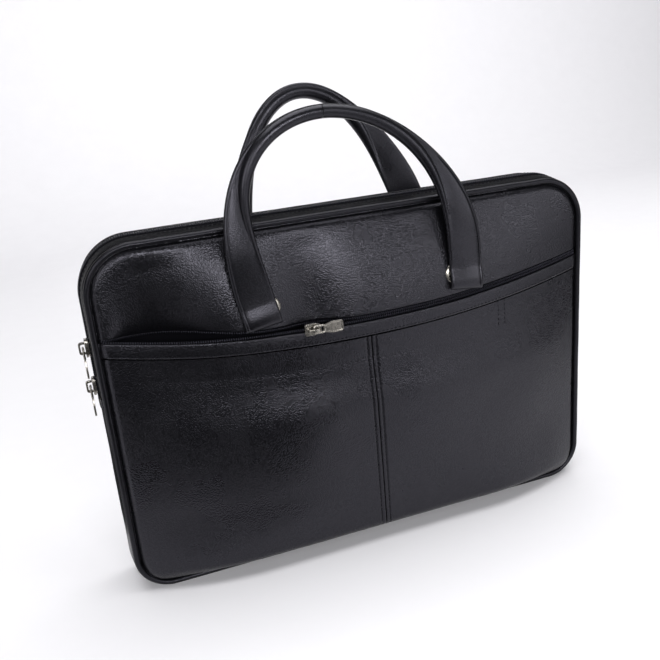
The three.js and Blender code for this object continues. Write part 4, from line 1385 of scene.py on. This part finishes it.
def slider(name):
    mesh = frame["nodes"][name].data.copy()
    shape = bmesh.new()
    shape.from_mesh(mesh)
    bmesh.ops.remove_doubles(shape, verts=shape.verts, dist=1e-6)
    bmesh.ops.dissolve_limit(shape, angle_limit=math.radians(2), verts=shape.verts, edges=shape.edges)
    shape.to_mesh(mesh)
    shape.free()
    if "custom_normal" in mesh.attributes:
        mesh.attributes.remove(mesh.attributes["custom_normal"])
    mesh.polygons.foreach_set("use_smooth", [True] * len(mesh.polygons))
    mesh.set_sharp_from_angle(angle=math.radians(60))
    mesh.materials.clear()
    mesh.materials.append(nickel)
    piece = put_in_scene(name + "_nickel", mesh)
    round_edges(piece, SLIDER_ROUND, 3, 25)
    fit(piece, "nickel", name)


for slider_name in ("upper_slider", "lower_slider", "pocket_slider"):
    slider(slider_name)

# %% [markdown]
# ## The pull's eye and tab
# A pull is a wire eye with a flat tab. Both are drawn in the pull's own directions: along it from its axis,
# across it and out of it. The eye is a ring of wire with round corners, and the tab widens from a shoulder
# to a free end with round corners too.

# %% The pull's eye and tab
EYE_HALF_WIDTH = 2.7
EYE_LENGTH = 8.2
EYE_CORNER = 1.3
EYE_WIRE = 0.85
TAB_OVERLAP = 0.6
TAB_LENGTH = 23.0
TAB_HALF = 4.5
TAB_SHOULDER = [(0.0, 2.9), (1.6, 3.1), (4.0, 3.7), (6.6, TAB_HALF)]  # distance from its start, half width
TAB_CORNER = 2.0
WIRE_SIDES = 12


def eye_rings():
    """A wire round a long eye with round corners, closed on itself"""
    corners = [(0, 1), (-1, 1), (-1, -1), (0, -1)]
    path = []
    for number, (end, side) in enumerate(corners):
        centre = np.array([
            end * EYE_LENGTH - EYE_CORNER * (1 + 2 * end), side * (EYE_HALF_WIDTH - EYE_CORNER),
        ])
        turn = np.radians(90 * number + np.linspace(0, 90, 7))
        path += [(centre + EYE_CORNER * np.array([math.cos(a), math.sin(a)]), a) for a in turn]
    section = np.linspace(0, 2 * np.pi, WIRE_SIDES + 1)[:-1]
    rings = []
    for point, a in path:
        outward = np.array([math.cos(a), math.sin(a)])
        flat = point + EYE_WIRE * np.cos(section)[:, None] * outward
        rings.append(np.column_stack([flat, EYE_WIRE * np.sin(section)]))
    return np.array(rings)


def tab_outline():
    """The tab's outline from its shoulder round the free end"""
    start = -EYE_LENGTH + TAB_OVERLAP
    upper = [(start - distance, half) for distance, half in TAB_SHOULDER]
    for a in np.linspace(0, np.pi / 2, 7):
        x = -TAB_LENGTH + TAB_CORNER - TAB_CORNER * math.sin(a)
        upper.append((x, TAB_HALF - TAB_CORNER + TAB_CORNER * math.cos(a)))
    return upper + [(x, -y) for x, y in reversed(upper)]


print("tab outline:", len(tab_outline()), "points")

# %% [markdown]
# ## Pulls
# The tab is its outline made into a plate, with a raised rim round a sunk face on both sides, and it overlaps
# the eye. Each pull is then turned to its slider, set on the axis of its joint and put on its own body, so
# that it can swing.

# %% Pulls
TAB_HALF_THICKNESS = 0.7
TAB_RIM = 0.9
TAB_SLOPE = 0.25
TAB_SINK = 0.28
PULL_ROUND = 0.18


def pull(name, place, along, out):
    across = np.cross(out, along)
    basis = np.stack([along, across, out])
    rings = eye_rings()
    stations, sides, _ = rings.shape
    index = np.arange(stations * sides).reshape(stations, sides)
    ahead, after = np.roll(index, -1, axis=0), np.roll(index, -1, axis=1)
    wire_faces = np.stack([index, ahead, np.roll(ahead, -1, axis=1), after], -1).reshape(-1, 4).tolist()
    mesh = bpy.data.meshes.new(name)
    mesh.from_pydata(rings.reshape(-1, 3).tolist(), [], wire_faces)
    shape = bmesh.new()
    shape.from_mesh(mesh)
    tab = shape.faces.new([shape.verts.new((x, y, -TAB_HALF_THICKNESS)) for x, y in tab_outline()])
    block = bmesh.ops.extrude_face_region(shape, geom=[tab])
    raised = [v for v in block["geom"] if isinstance(v, bmesh.types.BMVert)]
    bmesh.ops.translate(shape, verts=raised, vec=(0, 0, 2 * TAB_HALF_THICKNESS))
    top = next(f for f in block["geom"] if isinstance(f, bmesh.types.BMFace))
    for face, way in ((top, 1), (tab, -1)):
        face.normal_update()
        if face.normal.z * way < 0:
            face.normal_flip()
        for width, depth in ((TAB_RIM, 0.0), (TAB_SLOPE, -TAB_SINK)):
            bmesh.ops.inset_region(shape, faces=[face], thickness=width, depth=depth, use_even_offset=True)
    bmesh.ops.recalc_face_normals(shape, faces=shape.faces)
    shape.to_mesh(mesh)
    shape.free()
    local = np.zeros(len(mesh.vertices) * 3)
    mesh.vertices.foreach_get("co", local)
    mesh.vertices.foreach_set("co", ((local.reshape(-1, 3) @ basis + place) * MM).ravel())
    mesh.polygons.foreach_set("use_smooth", [True] * len(mesh.polygons))
    mesh.set_sharp_from_angle(angle=math.radians(35))
    mesh.materials.append(nickel)
    mesh.update()
    piece = put_in_scene(name + "_nickel", mesh)
    round_edges(piece, PULL_ROUND, 2, 40)
    fit(piece, "nickel", name, body=name)


LEFT, UP, FRONT = np.array([-1.0, 0, 0]), np.array([0, 0, 1.0]), np.array([0, -1.0, 0])
hinges = {joint["child"]: np.array(joint["pos_m"]) / MM for joint in frame["joints"]}
pull("upper_pull", hinges["upper_pull"], UP, LEFT)
pull("lower_pull", hinges["lower_pull"], UP, LEFT)
pull("pocket_pull", hinges["pocket_pull"], LEFT, FRONT)

# %% [markdown]
# ## Studs
# A small domed cap peeps out from under the inner edge of each front strap. A profile turned round its axis
# gives the dome, and the slope of the panel under it gives the axis.

# %% Studs
STUD_X = 75.5
STUD_HEIGHT = 217.0
STUD_LIFT = 0.3
STUD_SIDES = 40
STUD_PROFILE = [  # radius, height
    (8.0, 0.0), (8.0, 0.3), (7.8, 0.6), (7.3, 0.85), (6.2, 1.1), (4.6, 1.35), (2.6, 1.52), (0.8, 1.6),
]


def stud(node, side):
    turn = np.linspace(0, 2 * np.pi, STUD_SIDES + 1)[:-1]
    rings = np.array([
        np.column_stack([radius * np.cos(turn), radius * np.sin(turn), 0 * turn + height])
        for radius, height in STUD_PROFILE
    ])
    x = side * STUD_X
    slope_x = float(upper_face(x + 1, STUD_HEIGHT) - upper_face(x - 1, STUD_HEIGHT)) / 2
    slope_z = float(upper_face(x, STUD_HEIGHT + 1) - upper_face(x, STUD_HEIGHT - 1)) / 2
    out = np.array([-slope_x, -1.0, -slope_z])
    out /= np.linalg.norm(out)
    right = np.cross(UP, out)
    right /= np.linalg.norm(right)
    basis = np.stack([right, np.cross(out, right), out])
    centre = np.array([x, -float(upper_face(x, STUD_HEIGHT)), STUD_HEIGHT]) + STUD_LIFT * out
    points, faces = sweep_shell(rings)
    fit(make_piece(node + "_nickel", points @ basis + centre, faces, nickel, 50), "nickel", node)


stud("stud_left", -1)
stud("stud_right", 1)

# %% [markdown]
# ## Stitches
# Every seam that shows has its row of stitches, each a short rounded bar of thread pressed into the leather.
# On each half of the pocket two short rows side by side tack the hem under the band. All rows are listed as
# paths on the surfaces above, and the tree that made the zip's loops repeats a stitch along them.

# %% Stitches
STITCH = (1.25, 0.32, 0.28)
SEAM_STARTS = 12.0
SEAM_BELOW_BAND = 1.5
SHORT_SEAMS = (114.7, 121.0)
SHORT_SEAM_HEIGHTS = (167.0, 186.5)
SHORT_SEAM_LIFT = 0.1
BAND_STITCHES_UP = 2.2
BAND_STITCHES_LIFT = 0.3
FACING_STITCHES_IN = 2.2
FACING_STITCHES_LIFT = 0.02


def on_front(x, z, face, lift):
    """A path on a front face at a height above it, with its outward directions"""
    x, z = np.broadcast_arrays(np.asarray(x, float), np.asarray(z, float))
    forward = face(x, z) + lift
    slope_x = face(x + 0.5, z) - face(x - 0.5, z)
    slope_z = face(x, z + 0.5) - face(x, z - 0.5)
    out = np.stack([-slope_x, -np.ones_like(x), -slope_z], -1)
    return front_grid(x, forward, z), out


def band_face(x, z):
    return pocket_face(x, z) + BAND_PROUD


def seam_paths():
    paths = []
    seam_z = np.arange(SEAM_STARTS, float(mouth_height(0.0)) - BAND_HEIGHT - SEAM_BELOW_BAND, 2.0)
    short_z = np.arange(*SHORT_SEAM_HEIGHTS, 1.0)
    for side in (-1, 1):
        paths.append(on_front(side * (SEAM_HALF + STITCH_FROM_SEAM), seam_z, pocket_skin, -STITCH_GROOVE))
        paths += [on_front(side * x, short_z, pocket_skin, SHORT_SEAM_LIFT) for x in SHORT_SEAMS]
    band_x = np.arange(-PANEL_HALF + 6, PANEL_HALF - 5, 2.0)
    band_z = mouth_height(band_x) - BAND_HEIGHT + BAND_STITCHES_UP
    paths.append(on_front(band_x, band_z, band_face, BAND_STITCHES_LIFT))
    facing_depth = FACING_EDGE + FACING_STITCHES_IN
    paths += [on_strip(upper_line, side * facing_depth, FACING_STITCHES_LIFT) for side in (-1, 1)]
    return paths


fit(repeat("seam_stitches", seam_paths(), STITCH_PITCH, STITCH, thread), "leather_body")

# %% [markdown]
# ## Size
# The sizes of the solids' box and of the dressed bag are printed; soft leather may stand a little proud of the
# solids.

# %% Size
dressed_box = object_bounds()
for box_name, box in (("solids", cad_box), ("dressed", dressed_box)):
    print(box_name, [round(high - low, 4) for low, high in zip(*box)], "m")
